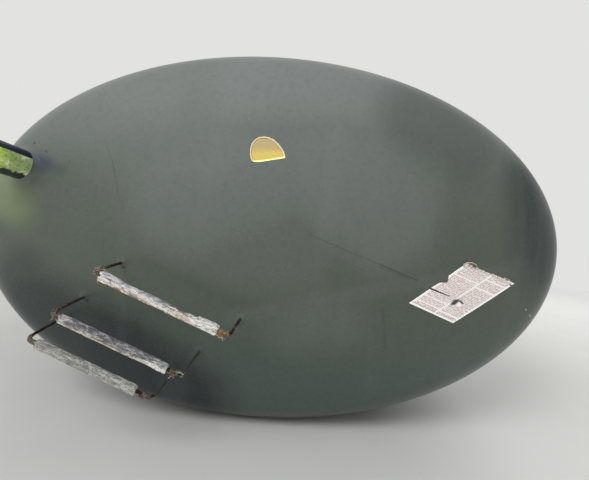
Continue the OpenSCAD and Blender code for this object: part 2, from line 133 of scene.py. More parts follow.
class TankColours(bpy.types.PropertyGroup):
    """Colours of the finishes."""

    gelcoat: tint("Gelcoat", "The tank's olive gelcoat", 84, 93, 82)
    # On the front end this colour also gives the painted highlights and the painted lighter top
    chalk_and_highlight: tint("Chalking", "Weathered gelcoat towards the top", 132, 137, 137)
    shade: tint("Grime", "Dirty gelcoat low down", 56, 64, 60)
    band: tint("Bands", "Laminate over the joints", 92, 102, 88)
    inside_tan: tint("Inside, far", "Raw laminate where little light comes through", 192, 174, 138)
    inside_yellow: tint("Inside, near", "Raw laminate with light through it", 220, 202, 116)
    cut_edge: tint("Cut edge", "Sawn edge of the laminate", 226, 210, 178)
    fibre: tint("Fibre", "Bare white glass fibre", 206, 205, 203)
    resin: tint("Resin", "Grey resin", 128, 132, 130)
    rust: tint("Rust", "Rust of the rods", 66, 50, 42)
    navy: tint("Navy", "Dark blue paint on the stub", 22, 28, 54)
    lime: tint("Lime", "Raw green laminate of the stub", 184, 212, 84)
    paper: tint("Paper", "The paper sheet", 244, 242, 238)
    ink: tint("Ink", "Grey print on the sheet", 128, 110, 104)
    zinc: tint("Zinc", "Zinc-coated steel", 150, 152, 154)
    rubber: tint("Rubber", "Gaskets", 30, 30, 31)
    floor: tint("Floor", "The studio floor", 226, 226, 224)


def sizes():
    """The sizes as they are set now."""
    return bpy.context.scene.tank_sizes


def colour(name):
    """One of the set colours, for a socket."""
    return tuple(getattr(bpy.context.scene.tank_colours, name)) + (1.0,)


def darker(shade, share):
    """A colour at a share of its light."""
    return tuple(c * share for c in shade[:3]) + (1.0,)


def middle_of(node):
    """Middle of a CAD node's box."""
    low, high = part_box(node)
    return (low + high) / 2


# Places on the tank


def ease(value, low, high):
    """0 below low and 1 above high, smooth between."""
    t = min(max((value - low) / (high - low), 0.0), 1.0)
    return t * t * (3 - 2 * t)


def ripple(seed, *at):
    """Even noise of 0 to 1 at a place."""
    return 0.5 + 0.5 * noise.noise(Vector((at + (0, 0))[:3]) + Vector((seed * 7.31, seed * 3.17, seed)))


def dish_height(u, v):
    """How far an end stands out past its rim at a place right of and above its middle."""
    r = HALF_H * hypot(u / HALF_W, v / HALF_H)
    if r <= CROWN_EDGE:
        return DISH - CROWN + sqrt(CROWN ** 2 - r * r)
    return sqrt(max(KNUCKLE ** 2 - (r - CROWN_X) ** 2, 0))


def wave_depth(u, v):
    """How far the hand-laid surface lies under the true dish at a place."""
    share = hypot(u / HALF_W, v / HALF_H)
    waves = 0.65 * ripple(1, u / 0.42, v / 0.30) + 0.35 * ripple(2, u / 0.16, v / 0.13)
    return sizes().wave * waves * (1 - ease(share, 0.86, 0.98))


def dish_normal(u, v):
    """Direction straight out of the front end's crown at a place."""
    r = min(HALF_H * hypot(u / HALF_W, v / HALF_H), CROWN_EDGE)
    flat = sqrt(CROWN ** 2 - r * r)
    return Vector((HALF_H ** 2 * u / HALF_W ** 2, -flat, v)).normalized()


def front_point(u, v, lift=0.0):
    """Place in the tank's frame at a height over the front end's surface."""
    foot = Vector((u, wave_depth(u, v) - RIM_Y - dish_height(u, v), AXIS_Z + v))
    return foot + lift * dish_normal(u, v)


def on_front(u, v):
    """From a frame with +Z straight out of the front end at a place to the tank's frame."""
    out = dish_normal(u, v)
    turn = Matrix.Rotation(atan2(out.x, -out.y), 4, "Z") @ Matrix.Rotation(pi / 2 - asin(out.z), 4, "X")
    return Matrix.Translation((u, -RIM_Y - dish_height(u, v), AXIS_Z + v)) @ turn


def shell_height(x):
    """Height of the barrel over its middle at a distance from the middle plane."""
    return HALF_H * sqrt(1 - (x / HALF_W) ** 2)


def shell_point(x, y, lift=0.0):
    """Place in the tank's frame at a height over the top of the barrel."""
    out = Vector((x / HALF_W ** 2, 0, shell_height(x) / HALF_H ** 2)).normalized()
    return Vector((x, y, AXIS_Z + shell_height(x))) + lift * out


# Modelling


def deselect():
    """Leaves edit mode and selects nothing."""
    if bpy.context.object and bpy.context.object.mode != "OBJECT":
        bpy.ops.object.mode_set(mode="OBJECT")
    bpy.ops.object.select_all(action="DESELECT")


def choose(piece):
    """Selects one piece alone."""
    deselect()
    piece.select_set(True)
    bpy.context.view_layer.objects.active = piece


@contextmanager
def editing(piece, everything=False):
    """Edit mode on one piece, with all of its mesh selected or none of it."""
    choose(piece)
    bpy.ops.object.mode_set(mode="EDIT")
    bpy.ops.mesh.select_mode(type="VERT")
    bpy.ops.mesh.select_all(action="SELECT" if everything else "DESELECT")
    yield bmesh.from_edit_mesh(piece.data)
    bpy.ops.object.mode_set(mode="OBJECT")


def pick(mesh, kind, test):
    """Selects the faces or vertices that pass a test, while a piece is in edit mode."""
    bpy.ops.mesh.select_mode(type="FACE" if kind == "faces" else "VERT")
    for part in getattr(mesh, kind):
        part.select_set(bool(test(part)))
    mesh.select_flush_mode()


def new_circle(name, sides, half_w, half_h, z):
    """A named ring of vertices round +Z."""
    deselect()
    bpy.ops.mesh.primitive_circle_add(vertices=sides, radius=1, location=(0, 0, z))
    piece = bpy.context.object
    piece.name = piece.data.name = name
    piece.scale = (half_w, half_h, 1)
    bpy.ops.object.transform_apply(location=True, rotation=False, scale=True)
    return piece


def extrude(step, times=1):
    """Draws the selected ring on by a step, once or again and again."""
    for repeat in range(times):
        bpy.ops.mesh.extrude_region_move(TRANSFORM_OT_translate={"value": step})


def turned(name, stations, sides=64, loop=False):
    """A ring drawn along +Z through stations of half width, half height and place.

    A first or last station of no width closes that end, and a loop joins the last ring to the first."""
    start_pole = stations[0] if stations[0][0] == 0 else None
    rings = list(stations[1:] if start_pole else stations)
    if loop:
        rings.append(rings[0])
    piece = new_circle(name, sides, *rings[0])
    with editing(piece, everything=True):
        if start_pole:
            extrude((0, 0, start_pole[2] - rings[0][2]))
            bpy.ops.mesh.merge(type="CENTER")
    with editing(piece) as mesh:
        pick(mesh, "verts", lambda v: abs(v.co.z - rings[0][2]) < 1e-7 and hypot(v.co.x, v.co.y) > 1e-6)
        for before, ring in zip(rings, rings[1:]):
            extrude((0, 0, ring[2] - before[2]))
            if ring[0] == 0:
                bpy.ops.mesh.merge(type="CENTER")
            else:
                grow = (ring[0] / before[0], ring[1] / before[1], 1)
                bpy.ops.transform.resize(value=grow, center_override=(0, 0, ring[2]))
    tidy(piece)
    return piece


def tidy(piece, gap=2e-6):
    """Merges doubles and turns the faces outwards."""
    with editing(piece, everything=True):
        bpy.ops.mesh.remove_doubles(threshold=gap)
        bpy.ops.mesh.normals_make_consistent(inside=False)


def close_ends(bar):
    """Closes the open ends of a drawn bar."""
    with editing(bar) as mesh:
        for edge in mesh.edges:
            edge.select_set(edge.is_boundary)
        bpy.ops.mesh.edge_face_add()
    tidy(bar)


def place(piece, matrix):
    """Moves a piece's mesh, and leaves its object at the origin."""
    choose(piece)
    piece.matrix_world = matrix
    bpy.ops.object.transform_apply(location=True, rotation=True, scale=True)


def sculpt(piece, move):
    """Moves each vertex to where a rule sends it."""
    for vertex in piece.data.vertices:
        vertex.co = move(vertex.co.copy())
    piece.data.update()


def modify(piece, kind, **settings):
    """Adds a modifier and applies it."""
    choose(piece)
    modifier = piece.modifiers.new(kind.title(), kind)
    for name, value in settings.items():
        setattr(modifier, name, value)
    bpy.ops.object.modifier_apply(modifier=modifier.name)


def extent(piece):
    """Length of a piece's box along each axis."""
    spots = [vertex.co for vertex in piece.data.vertices] or [Vector()]
    return Vector([max(p[i] for p in spots) - min(p[i] for p in spots) for i in range(3)])


def cut(piece, *cutters):
    """Takes the cutters' space out of a piece."""
    before = extent(piece)
    for cutter in cutters:
        modify(piece, "BOOLEAN", object=cutter, operation="DIFFERENCE", solver="EXACT")
        bpy.data.objects.remove(cutter)
    if (extent(piece) - before).length > 0.001:
        raise RuntimeError(f"A cut spoiled {piece.name}")


def round_cutter(r, low, high, sides=48):
    """A round bar along +Z to cut with."""
    return turned("cutter", [(0, 0, low), (r, r, low), (r, r, high), (0, 0, high)], sides=sides)


def copied(piece, name, matrix):
    """A copy with a mesh of its own, moved by a matrix."""
    twin = piece.copy()
    twin.data = piece.data.copy()
    twin.name = twin.data.name = name
    bpy.context.scene.collection.objects.link(twin)
    place(twin, matrix)
    return twin


def joined(name, parts):
    """Several parts as one piece."""
    deselect()
    for part in parts:
        part.select_set(True)
    bpy.context.view_layer.objects.active = parts[0]
    bpy.ops.object.join()
    parts[0].name = parts[0].data.name = name
    return parts[0]


def paint(piece, material, test=None):
    """Gives a material to the whole piece, or to the faces that pass a test of middle and normal."""
    piece.data.materials.append(material)
    if test:
        number = len(piece.data.materials) - 1
        for face in piece.data.polygons:
            if test(face.center, face.normal):
                face.material_index = number


def hand_over(piece, slot, *nodes, angle=32):
    """Shades a finished piece and puts it in the place of its CAD nodes."""
    choose(piece)
    bpy.ops.object.shade_smooth_by_angle(angle=radians(angle))
    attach(piece, "root")
    if nodes:
        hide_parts(*nodes)
    return piece


# Finishes


class Value:
    """A socket of a node tree, on which Python's operators add Math nodes."""

    def __init__(self, shader, socket):
        self.shader = shader
        self.socket = socket

    def math(self, operation, *inputs):
        return self.shader.node("ShaderNodeMath", {"operation": operation}, dict(enumerate(inputs)))

    def __add__(self, other):
        return self.math("ADD", self, other)

    def __sub__(self, other):
        return self.math("SUBTRACT", self, other)

    def __rsub__(self, other):
        return self.math("SUBTRACT", other, self)

    def __mul__(self, other):
        return self.math("MULTIPLY", self, other)

    __radd__ = __add__
    __rmul__ = __mul__

    def or_more(self, other):
        return self.math("MAXIMUM", self, other)

    def size(self):
        return self.math("ABSOLUTE", self)


class Shader:
    """A node tree while its nodes are laid."""

    def __init__(self, tree):
        self.tree = tree
        self.tree.nodes.clear()

    def node(self, kind, settings=None, inputs=None, out=0):
        """Adds a node, sets it, then fills its sockets with values or links."""
        made = self.tree.nodes.new(kind)
        for name, value in (settings or {}).items():
            setattr(made, name, value)
        for name, value in (inputs or {}).items():
            if isinstance(value, Value):
                self.tree.links.new(value.socket, made.inputs[name])
            else:
                made.inputs[name].default_value = value
        return Value(self, made.outputs[out]) if made.outputs else None


class Finish(Shader):
    """A material while its nodes are laid."""

    def __init__(self, name):
        self.material = bpy.data.materials.new(name)
        self.material.use_nodes = True
        super().__init__(self.material.node_tree)
        self.place = self.node("ShaderNodeTexCoord", out="Object")

    def own_frame(self, matrix):
        """Object coordinates seen from a piece's own frame."""
        spot = {"Vector": self.place, "Location": matrix.translation, "Rotation": matrix.to_euler()}
        return self.node("ShaderNodeMapping", {"vector_type": "TEXTURE"}, spot)

    def axes(self, place=None):
        """The three coordinates of a place."""
        split = self.node("ShaderNodeSeparateXYZ", inputs={0: place or self.place})
        outputs = split.socket.node.outputs
        return [Value(self, outputs[i]) for i in range(3)]

    def vector(self, operation, a, b, out=0):
        return self.node("ShaderNodeVectorMath", {"operation": operation}, {0: a, 1: b}, out)

    def noise(self, scale, detail=3.0, stretch=(1, 1, 1), seed=0.0, place=None, rough=0.55):
        """Cloudy noise of about 0.3 to 0.7."""
        shift = {"Vector": place or self.place, "Scale": stretch, "Location": (seed, seed * 1.7, seed * 2.3)}
        at = self.node("ShaderNodeMapping", inputs=shift)
        values = {"Vector": at, "Scale": scale, "Detail": detail, "Roughness": rough}
        return self.node("ShaderNodeTexNoise", inputs=values)

    def cells(self, scale, seed=0.0, out="Distance"):
        """Distance to the nearest of scattered points, or the colour of its cell."""
        shift = {"Vector": self.place, "Location": (seed, seed * 1.7, seed * 2.3)}
        at = self.node("ShaderNodeMapping", inputs=shift)
        return self.node("ShaderNodeTexVoronoi", inputs={"Vector": at, "Scale": scale}, out=out)

    def ease(self, value, low, high):
        """0 on the low side and 1 on the high side, smooth between."""
        values = {"Value": value, "From Min": low, "From Max": high}
        return self.node("ShaderNodeMapRange", {"interpolation_type": "SMOOTHSTEP"}, values)

    def mix(self, factor, a, b):
        """One colour over another."""
        return self.node("ShaderNodeMix", {"data_type": "RGBA"}, {0: factor, 6: a, 7: b}, 2)

    def from_line(self, start, end, place):
        """Distance from a straight line between two places."""
        along = Vector(end) - Vector(start)
        step = self.vector("SUBTRACT", place, tuple(start))
        share = self.vector("DOT_PRODUCT", step, tuple(along / along.length_squared), "Value")
        share = self.node("ShaderNodeClamp", inputs={"Value": share})
        foot = self.node("ShaderNodeVectorMath", {"operation": "SCALE"}, {0: tuple(along), "Scale": share})
        away = self.vector("SUBTRACT", step, foot)
        return self.node("ShaderNodeVectorMath", {"operation": "LENGTH"}, {0: away}, "Value")

    def strokes(self, lines, place, rag=None):
        """Mask of lines of start, end, half width and strength."""
        mask = None
        for start, end, half, strength in lines:
            away = self.from_line(start, end, place)
            if rag:
                away = away + rag * half
            stroke = self.ease(away, half * 1.5, half * 0.4) * strength
            mask = mask.or_more(stroke) if mask else stroke
        return mask

    def shell(self, base, rough, bumps=(), specular=0.5, metal=0.0, glow=None, glow_strength=0.0):
        """Ends the material in its shader, with bumps of height, depth in metres and strength."""
        normal = None
        for height, depth, strength in bumps:
            values = {"Height": height, "Distance": depth, "Strength": strength}
            if normal:
                values["Normal"] = normal
            normal = self.node("ShaderNodeBump", inputs=values)
        values = {"Base Color": base, "Roughness": rough, "Metallic": metal, "Specular IOR Level": specular}
        if normal:
            values["Normal"] = normal
        if glow:
            values.update({"Emission Color": glow, "Emission Strength": glow_strength})
        shader = self.node("ShaderNodeBsdfPrincipled", inputs=values)
        self.node("ShaderNodeOutputMaterial", inputs={"Surface": shader})
        return self.material


# Finishes that are made, by the name of their maker
finishes = {}


def finish(maker):
    """Makes a finish once, the first time that a piece asks for it."""
    if maker.__name__ not in finishes:
        finishes[maker.__name__] = maker()
    return finishes[maker.__name__]


def weathered(f, base, chalk_and_highlight, shade):
    """Gelcoat that has stood outdoors: chalked on top, streaked down its sides, dirty below."""
    z = f.axes()[2]
    clouds = f.noise(1.7, 4.0, seed=1.0)
    streaks = f.noise(11.0, 4.0, (1, 1, 0.09), seed=2.0)
    fine = f.noise(60.0, 3.0, seed=3.0)
    dust = f.ease(f.noise(240.0, 2.0, seed=4.0), 0.56, 0.72)
    up = (z - AXIS_Z) * (1 / HALF_H)
    side = f.ease(up, 1.02, 0.80)
    top = f.ease(up + (clouds - 0.5) * 0.7, 0.15, 1.15)
    tone = f.mix(top * 0.42, base, chalk_and_highlight)
    tone = f.mix(f.ease(clouds, 0.46, 0.66) * 0.14, tone, chalk_and_highlight)
    tone = f.mix(f.ease(streaks, 0.52, 0.68) * side * 0.34, tone, shade)
    tone = f.mix(f.ease(streaks, 0.45, 0.34) * side * 0.16, tone, chalk_and_highlight)
    tone = f.mix(f.ease(up + (clouds - 0.5) * 0.3, -0.55, -1.0) * 0.45, tone, shade)
    tone = f.mix(f.ease(fine, 0.35, 0.70) * 0.16, tone, shade)
    tone = f.mix(dust * 0.12, tone, colour("fibre"))
    rough = 0.32 + top * 0.14 + dust * 0.15
    return tone, rough


def front_gelcoat():
    """The photographed end: dark olive, chalked and lit lighter towards the top with painted light, with
    painted shade low down, painted highlights, a painted reflection band, the stub's painted green light and
    painted shadow, a painted shadow under the sheet's slit, and its drips, spots and hairlines.
    """
    f = Finish("front_gelcoat")
    x, _, z = f.axes()
    flat = f.vector("MULTIPLY", f.place, (1, 0, 1))
    up = z - AXIS_Z
    base = colour("gelcoat")
    clouds = f.noise(1.6, 4.0, seed=1.0)
    streaks = f.noise(7.0, 4.0, (1, 1, 0.10), seed=2.0)
    fine = f.noise(45.0, 4.0, seed=3.0)
    soft = (clouds - 0.5) * 1.2
    # Chalking and painted light together: lighter towards the top and a little darker to the right
    height = f.ease(up + (clouds - 0.5) * 0.30 + (streaks - 0.5) * 0.12 - x * 0.08, -0.10, 0.72)
    tone = f.mix(height * 0.62, base, colour("chalk_and_highlight"))
    # Painted shade: bluish and darker towards the bottom
    tone = f.mix(f.ease(up + soft * 0.2, -0.15, -0.65) * 0.45, tone, srgb(76, 92, 94))
    # Painted highlights and a painted reflection band
    tone = f.mix(f.strokes(PAINTED_HIGHLIGHTS, flat, soft), tone, colour("chalk_and_highlight"))
    # Painted shade in soft dark areas
    tone = f.mix(f.strokes(PAINTED_SHADE_AREAS, flat, soft), tone, srgb(38, 46, 48))
    tone = f.mix(f.ease(streaks, 0.50, 0.72) * 0.10, tone, colour("chalk_and_highlight"))
    tone = f.mix(f.ease(fine, 0.42, 0.72) * 0.12, tone, colour("shade"))
    # Painted green light cast through the stub onto the end
    tone = f.mix(f.strokes(PAINTED_GREEN_LIGHT, flat, soft), tone, srgb(138, 156, 104))
    # Painted shadow of the stub
    tone = f.mix(f.strokes(PAINTED_STUB_SHADOW, flat), tone, srgb(52, 62, 84))
    rag = f.noise(38.0, 3.0, seed=5.0) * 2 - 1
    tone = f.mix(f.strokes(HAIRLINES, flat), tone, colour("shade"))
    tone = f.mix(f.strokes(RUNS, flat, rag), tone, colour("shade"))
    # Dark spots, and the painted shadow under the sheet's slit
    tone = f.mix(f.strokes(SPOTS_AND_SLIT_SHADOW, flat, rag), tone, srgb(34, 38, 42))
    tone = f.mix(f.strokes(PALE_BITS, flat, rag), tone, colour("fibre"))
    dust = f.ease(f.noise(300.0, 2.0, seed=6.0), 0.60, 0.74)
    tone = f.mix(dust * 0.14, tone, colour("fibre"))
    pits = f.ease(f.cells(150.0, seed=7.0), 0.10, 0.02)
    tone = f.mix(pits * 0.35, tone, colour("shade"))
    rough = 0.30 + height * 0.12 + dust * 0.2
    peel = f.noise(26.0, 2.0, seed=8.0)
    bumps = ((peel, 0.0008, 0.5), (fine, 0.0003, 0.6))
    return f.shell(tone, rough, bumps, specular=0.35)


def at(x, up):
    """A place of a mark on the front end, for its finish."""
    return (x, 0, AXIS_Z + up)


# Painted highlights and painted shade on the front end, as soft areas lighter and darker: start, end, half
# width, strength
# Painted highlights, lighter soft areas
PAINTED_HIGHLIGHTS = (
    (at(-0.32, 0.10), at(-0.06, 0.20), 0.20, 0.32),
    (at(0.20, 0.24), at(0.42, 0.10), 0.20, 0.34),
    (at(-0.10, 0.58), at(0.28, 0.62), 0.18, 0.55),
    (at(-0.10, 0.00), at(0.05, -0.04), 0.16, 0.16),
    (at(0.14, -0.31), at(0.28, -0.30), 0.12, 0.15),
    # A painted reflection band across the lower middle
    (at(-0.098, -0.293), at(0.138, -0.244), 0.030, 0.12),
    (at(0.138, -0.244), at(0.443, -0.151), 0.030, 0.14),
    (at(0.443, -0.151), at(1.164, -0.024), 0.030, 0.12),
)
# Painted shade, darker soft areas
PAINTED_SHADE_AREAS = (
    (at(1.07, 0.27), at(1.11, 0.06), 0.18, 0.90),
    (at(-0.80, 0.14), at(-1.02, -0.04), 0.15, 0.13),
    (at(-0.93, -0.20), at(-0.99, -0.26), 0.13, 0.60),
    (at(-0.90, -0.31), at(-0.58, -0.46), 0.16, 0.86),
    (at(-0.58, -0.46), at(-0.26, -0.64), 0.16, 0.94),
    (at(0.52, 0.52), at(0.74, 0.40), 0.14, 0.30),
)
# Painted green light from the stub
PAINTED_GREEN_LIGHT = (
    (at(-1.06, 0.11), at(-0.96, 0.07), 0.100, 0.44),
    (at(-0.96, 0.07), at(-0.93, 0.03), 0.085, 0.16),
)
# Painted shadow of the stub on the end
PAINTED_STUB_SHADOW = (
    (at(-0.920, 0.232), at(-0.860, 0.218), 0.036, 0.55),
    (at(-0.860, 0.218), at(-0.790, 0.198), 0.026, 0.26),
)

# Marks on the front end: start, end, half width, strength
HAIRLINES = (
    (at(0.155, 0.016), at(0.412, -0.072), 0.0016, 0.50),
    (at(0.412, -0.072), at(0.553, -0.120), 0.0022, 0.75),
    (at(0.412, -0.081), at(0.526, -0.117), 0.0040, 0.30),
    # A dark line drawn along under the hole's sill
    (at(-0.066, 0.259), at(0.052, 0.283), 0.0016, 0.60),
)
RUNS = (
    (at(-0.622, 0.307), at(-0.583, 0.243), 0.003, 0.16),
    (at(-0.583, 0.243), at(-0.542, 0.115), 0.004, 0.22),
    (at(-0.542, 0.115), at(-0.510, 0.062), 0.003, 0.16),
    (at(0.436, -0.228), at(0.463, -0.389), 0.003, 0.20),
    (at(-0.628, 0.145), at(-0.630, 0.100), 0.005, 0.20),
    (at(-0.666, 0.050), at(-0.587, 0.054), 0.004, 0.14),
)
SPOTS_AND_SLIT_SHADOW = (
    (at(-0.929, 0.306), at(-0.928, 0.302), 0.0034, 0.85),
    (at(-0.871, 0.274), at(-0.862, 0.266), 0.0026, 0.80),
    (at(-0.775, 0.253), at(-0.774, 0.250), 0.0026, 0.50),
    (at(-0.757, 0.234), at(-0.757, 0.228), 0.0030, 0.40),
    (at(-0.749, 0.124), at(-0.749, 0.120), 0.0034, 0.35),
    (at(-0.506, -0.143), at(-0.502, -0.146), 0.0040, 0.60),
    # Painted shadow under the slit in the sheet
    (at(0.612, -0.150), at(0.676, -0.172), 0.0050, 0.95),
)
PALE_BITS = (
    (at(1.049, -0.239), at(1.056, -0.247), 0.003, 0.70),
    (at(1.020, -0.215), at(1.024, -0.217), 0.003, 0.55),
    (at(1.080, -0.262), at(1.088, -0.264), 0.003, 0.60),
)


def tank_gelcoat():
    """The same gelcoat on the barrel, the rear and the fittings."""
    f = Finish("tank_gelcoat")
    tone, rough = weathered(f, colour("gelcoat"), colour("chalk_and_highlight"), colour("shade"))
    peel = f.noise(26.0, 2.0, seed=8.0)
    fine = f.noise(90.0, 3.0, seed=9.0)
    return f.shell(tone, rough, ((peel, 0.0008, 0.5), (fine, 0.0002, 0.6)), specular=0.35)


def band_laminate():
    """Hand-laid bands: the same colour, with the mat's strands under the coat."""
    f = Finish("band_laminate")
    tone, rough = weathered(f, colour("band"), colour("chalk_and_highlight"), colour("shade"))
    strands = f.noise(70.0, 4.0, (1, 0.25, 1), seed=11.0)
    crossing = f.noise(70.0, 4.0, (0.25, 1, 0.25), seed=12.0)
    weave = strands.or_more(crossing)
    tone = f.mix(f.ease(weave, 0.52, 0.66) * 0.22, tone, colour("chalk_and_highlight"))
    return f.shell(tone, rough + 0.08, ((weave, 0.0012, 0.8),), specular=0.35)


def inside_laminate():
    """Raw laminate of the inside, glowing with painted light as if lit through its wall."""
    f = Finish("inside_laminate")
    y = f.axes()[1]
    near = f.ease(y + (f.noise(5.0, seed=1.0) - 0.5) * 0.16, -0.70, -0.48)
    strands = f.noise(30.0, 4.0, (1, 3, 1), seed=2.0)
    tone = f.mix(near, colour("inside_tan"), colour("inside_yellow"))
    smudge = f.ease(f.from_line((-0.10, -0.60, 1.49), (-0.07, -0.57, 1.49), f.place), 0.06, 0.01)
    tone = f.mix(smudge * 0.4, tone, srgb(222, 156, 118))
    tone = f.mix(f.ease(strands, 0.40, 0.65) * 0.16, tone, srgb(150, 126, 80))
    # Painted light: the inside glows, tan near the front end and yellow further back
    base = f.mix(0.72, tone, BLACK)
    return f.shell(base, 0.5, ((strands, 0.001, 0.6),), glow=tone, glow_strength=0.80)


def cut_edge():
    """Sawn laminate, pale with darker layers, with painted light: yellow near the sill, and a faint glow all
    over.
    """
    f = Finish("cut_edge")
    flat = f.vector("MULTIPLY", f.place, (1, 0, 1))
    grain = f.noise(160.0, 3.0, seed=1.0)
    tone = f.mix(f.ease(grain, 0.40, 0.65) * 0.25, colour("cut_edge"), srgb(176, 156, 120))
    # Painted light: yellow near the sill
    low = f.ease(f.from_line(at(-0.063, 0.262), at(0.049, 0.288), flat), 0.034, 0.006)
    tone = f.mix(low * 0.7, tone, srgb(242, 228, 130))
    # Painted light: the edge glows faintly
    return f.shell(tone, 0.7, ((grain, 0.0006, 0.7),), glow=tone, glow_strength=0.22)


def cut_line():
    """The dark line between the gelcoat and the laminate in a sawn edge."""
    f = Finish("cut_line")
    grain = f.noise(120.0, 3.0, seed=1.0)
    tone = f.mix(f.ease(grain, 0.35, 0.7), srgb(104, 92, 62), srgb(132, 116, 78))
    return f.shell(tone, 0.7)


def sill_light():
    """The sill's outer edge, with the inside's light coming through the bare laminate."""
    f = Finish("sill_light")
    grain = f.noise(120.0, 3.0, seed=2.0)
    tone = f.mix(f.ease(grain, 0.38, 0.66) * 0.4, srgb(255, 246, 172), srgb(232, 214, 128))
    return f.shell(f.mix(0.5, tone, BLACK), 0.6, glow=tone, glow_strength=0.85)


def rod_rust():
    """Rusty bar, nearly black, with brown patches."""
    f = Finish("rod_rust")
    scale = f.noise(90.0, 5.0, seed=1.0, rough=0.65)
    patches = f.noise(22.0, 4.0, seed=2.0)
    tone = f.mix(f.ease(scale, 0.40, 0.60), colour("rust"), srgb(36, 30, 28))
    tone = f.mix(f.ease(patches, 0.55, 0.66) * 0.5, tone, srgb(112, 88, 64))
    return f.shell(tone, 0.85, ((scale, 0.0015, 0.9),), specular=0.25)


def coated_rod():
    """Bar that still has the tank's dark coat on it."""
    f = Finish("coated_rod")
    scale = f.noise(90.0, 4.0, seed=4.0)
    tone = f.mix(f.ease(scale, 0.50, 0.64) * 0.7, srgb(66, 72, 64), srgb(48, 44, 40))
    return f.shell(tone, 0.6, ((scale, 0.0008, 0.7),), specular=0.3)


def fibre(name, light, dark, seed):
    """Loose glass fibre and old resin in two tones."""
    f = Finish(name)
    strands = f.noise(160.0, 4.0, seed=seed, rough=0.65)
    tone = f.mix(f.ease(strands, 0.42, 0.60), light, dark)
    return f.shell(tone, 0.8, ((strands, 0.0012, 0.8),), specular=0.3)


def white_fibre():
    """Bare glass."""
    return fibre("white_fibre", srgb(226, 219, 202), srgb(184, 165, 135), 1.0)


def grey_fibre():
    """Resin and glass with dirt between."""
    return fibre("grey_fibre", srgb(176, 172, 168), srgb(74, 68, 64), 2.0)


def tan_fibre():
    """Strands stained with rust."""
    return fibre("tan_fibre", srgb(172, 142, 108), srgb(90, 66, 52), 3.0)


def dark_fibre():
    """Dirty strands, nearly black between."""
    return fibre("dark_fibre", srgb(128, 116, 100), srgb(46, 40, 36), 4.0)


def lime_fibre():
    """Uncoated green strands."""
    return fibre("lime_fibre", srgb(168, 163, 140), srgb(92, 88, 72), 5.0)


def mauve_rust():
    """Rusty resin on the lowest rod."""
    return fibre("mauve_rust", srgb(122, 108, 106), srgb(76, 64, 62), 6.0)


def stub_finish():
    """The side stub: dark blue above, raw green laminate with pale strands below that glows with painted
    light, and painted shade along its underside.
    """
    f = Finish("stub_finish")
    own = f.own_frame(on_front(*STUB_PLACE))
    y, z = f.axes(own)[1:]
    ragged = f.noise(45.0, 4.0, seed=1.0)
    painted = f.ease(y + (ragged - 0.5) * 0.004, 0.020, 0.023)
    strands = f.noise(60.0, 4.0, (1, 1, 0.3), seed=2.0, place=own, rough=0.65)
    specks = f.noise(110.0, 4.0, seed=3.0, rough=0.65)
    green = f.mix(f.ease(z, 0.05, 0.15), srgb(140, 158, 112), colour("lime"))
    green = f.mix(f.ease(strands, 0.52, 0.64) * 0.55, green, srgb(216, 226, 178))
    green = f.mix(f.ease(specks, 0.50, 0.60) * 0.60, green, srgb(84, 112, 50))
    green = f.mix(f.ease(strands, 0.44, 0.36) * 0.45, green, srgb(108, 134, 60))
    # Painted shade along the underside
    under = f.ease(y + (ragged - 0.5) * 0.035, -0.040, -0.048)
    green = f.mix(under * 0.9, green, srgb(24, 30, 34))
    tone = f.mix(painted, green, colour("navy"))
    # Painted light: the green laminate glows, the blue paint and the painted shade do not
    light = f.mix(painted.or_more(under), green, BLACK)
    return f.shell(tone, 0.45, ((strands, 0.0015, 0.8),), glow=light, glow_strength=0.34, specular=0.35)


def paper_finish():
    """The torn sheet: white paper with two columns of plain pinkish-grey rows, glowing a little with painted
    light.
    """
    f = Finish("paper_finish")
    uv = f.node("ShaderNodeUVMap", {"uv_map": "UVMap"})
    s, t = f.axes(uv)[:2]
    row = f.node("ShaderNodeMath", {"operation": "FRACT"}, {0: t * 38.0})
    line = f.ease((row - 0.5).size(), 0.32, 0.20)
    words = f.ease(f.noise(1.0, 1.0, (52.0, 38.0, 1.0), place=uv), 0.42, 0.52)
    inside = f.ease((s - 0.5).size(), 0.462, 0.452) * f.ease((t - 0.5).size(), 0.474, 0.466)
    gutter = f.ease((s - 0.537).size(), 0.012, 0.020)
    first = f.ease(s, 0.54, 0.53)
    gaps = 1 - row_gaps(f, t, LEFT_GAPS) * first - row_gaps(f, t, RIGHT_GAPS) * (1 - first)
    column = inside * gutter * gaps
    smudge = f.noise(9.0, 4.0, seed=2.0, place=uv)
    tone = f.mix(column * 0.66, colour("paper"), srgb(220, 205, 203))
    tone = f.mix(f.ease(smudge, 0.46, 0.66) * column * 0.30, tone, srgb(214, 196, 188))
    tone = f.mix(line * words * column * 0.66, tone, colour("ink"))
    ticks = f.node("ShaderNodeMath", {"operation": "FRACT"}, {0: s * 19.0})
    ticks = f.ease((ticks - 0.5).size(), 0.26, 0.20) * f.ease((t - 0.052).size(), 0.014, 0.010)
    tone = f.mix(ticks * 0.45, tone, colour("ink"))
    stain = f.ease(f.noise(60.0, 4.0, seed=6.0, place=uv, rough=0.7), 0.48, 0.58) * f.ease(t, 0.93, 0.985)
    tone = f.mix(stain * 0.75, tone, srgb(128, 98, 76))
    tone = f.mix(f.strokes(PRINT_BARE, uv), tone, srgb(250, 250, 250))
    patch = f.strokes(PRINT_PATCH, uv, f.noise(60.0, 2.0, seed=4.0, place=uv) * 2 - 1)
    tone = f.mix(patch, tone, srgb(52, 50, 52))
    crumple = f.noise(14.0, 3.0, seed=5.0, place=uv)
    # Painted light: the paper glows a little in its own colour
    return f.shell(tone, 0.7, ((crumple, 0.002, 0.5),), specular=0.3, glow=tone, glow_strength=0.27)


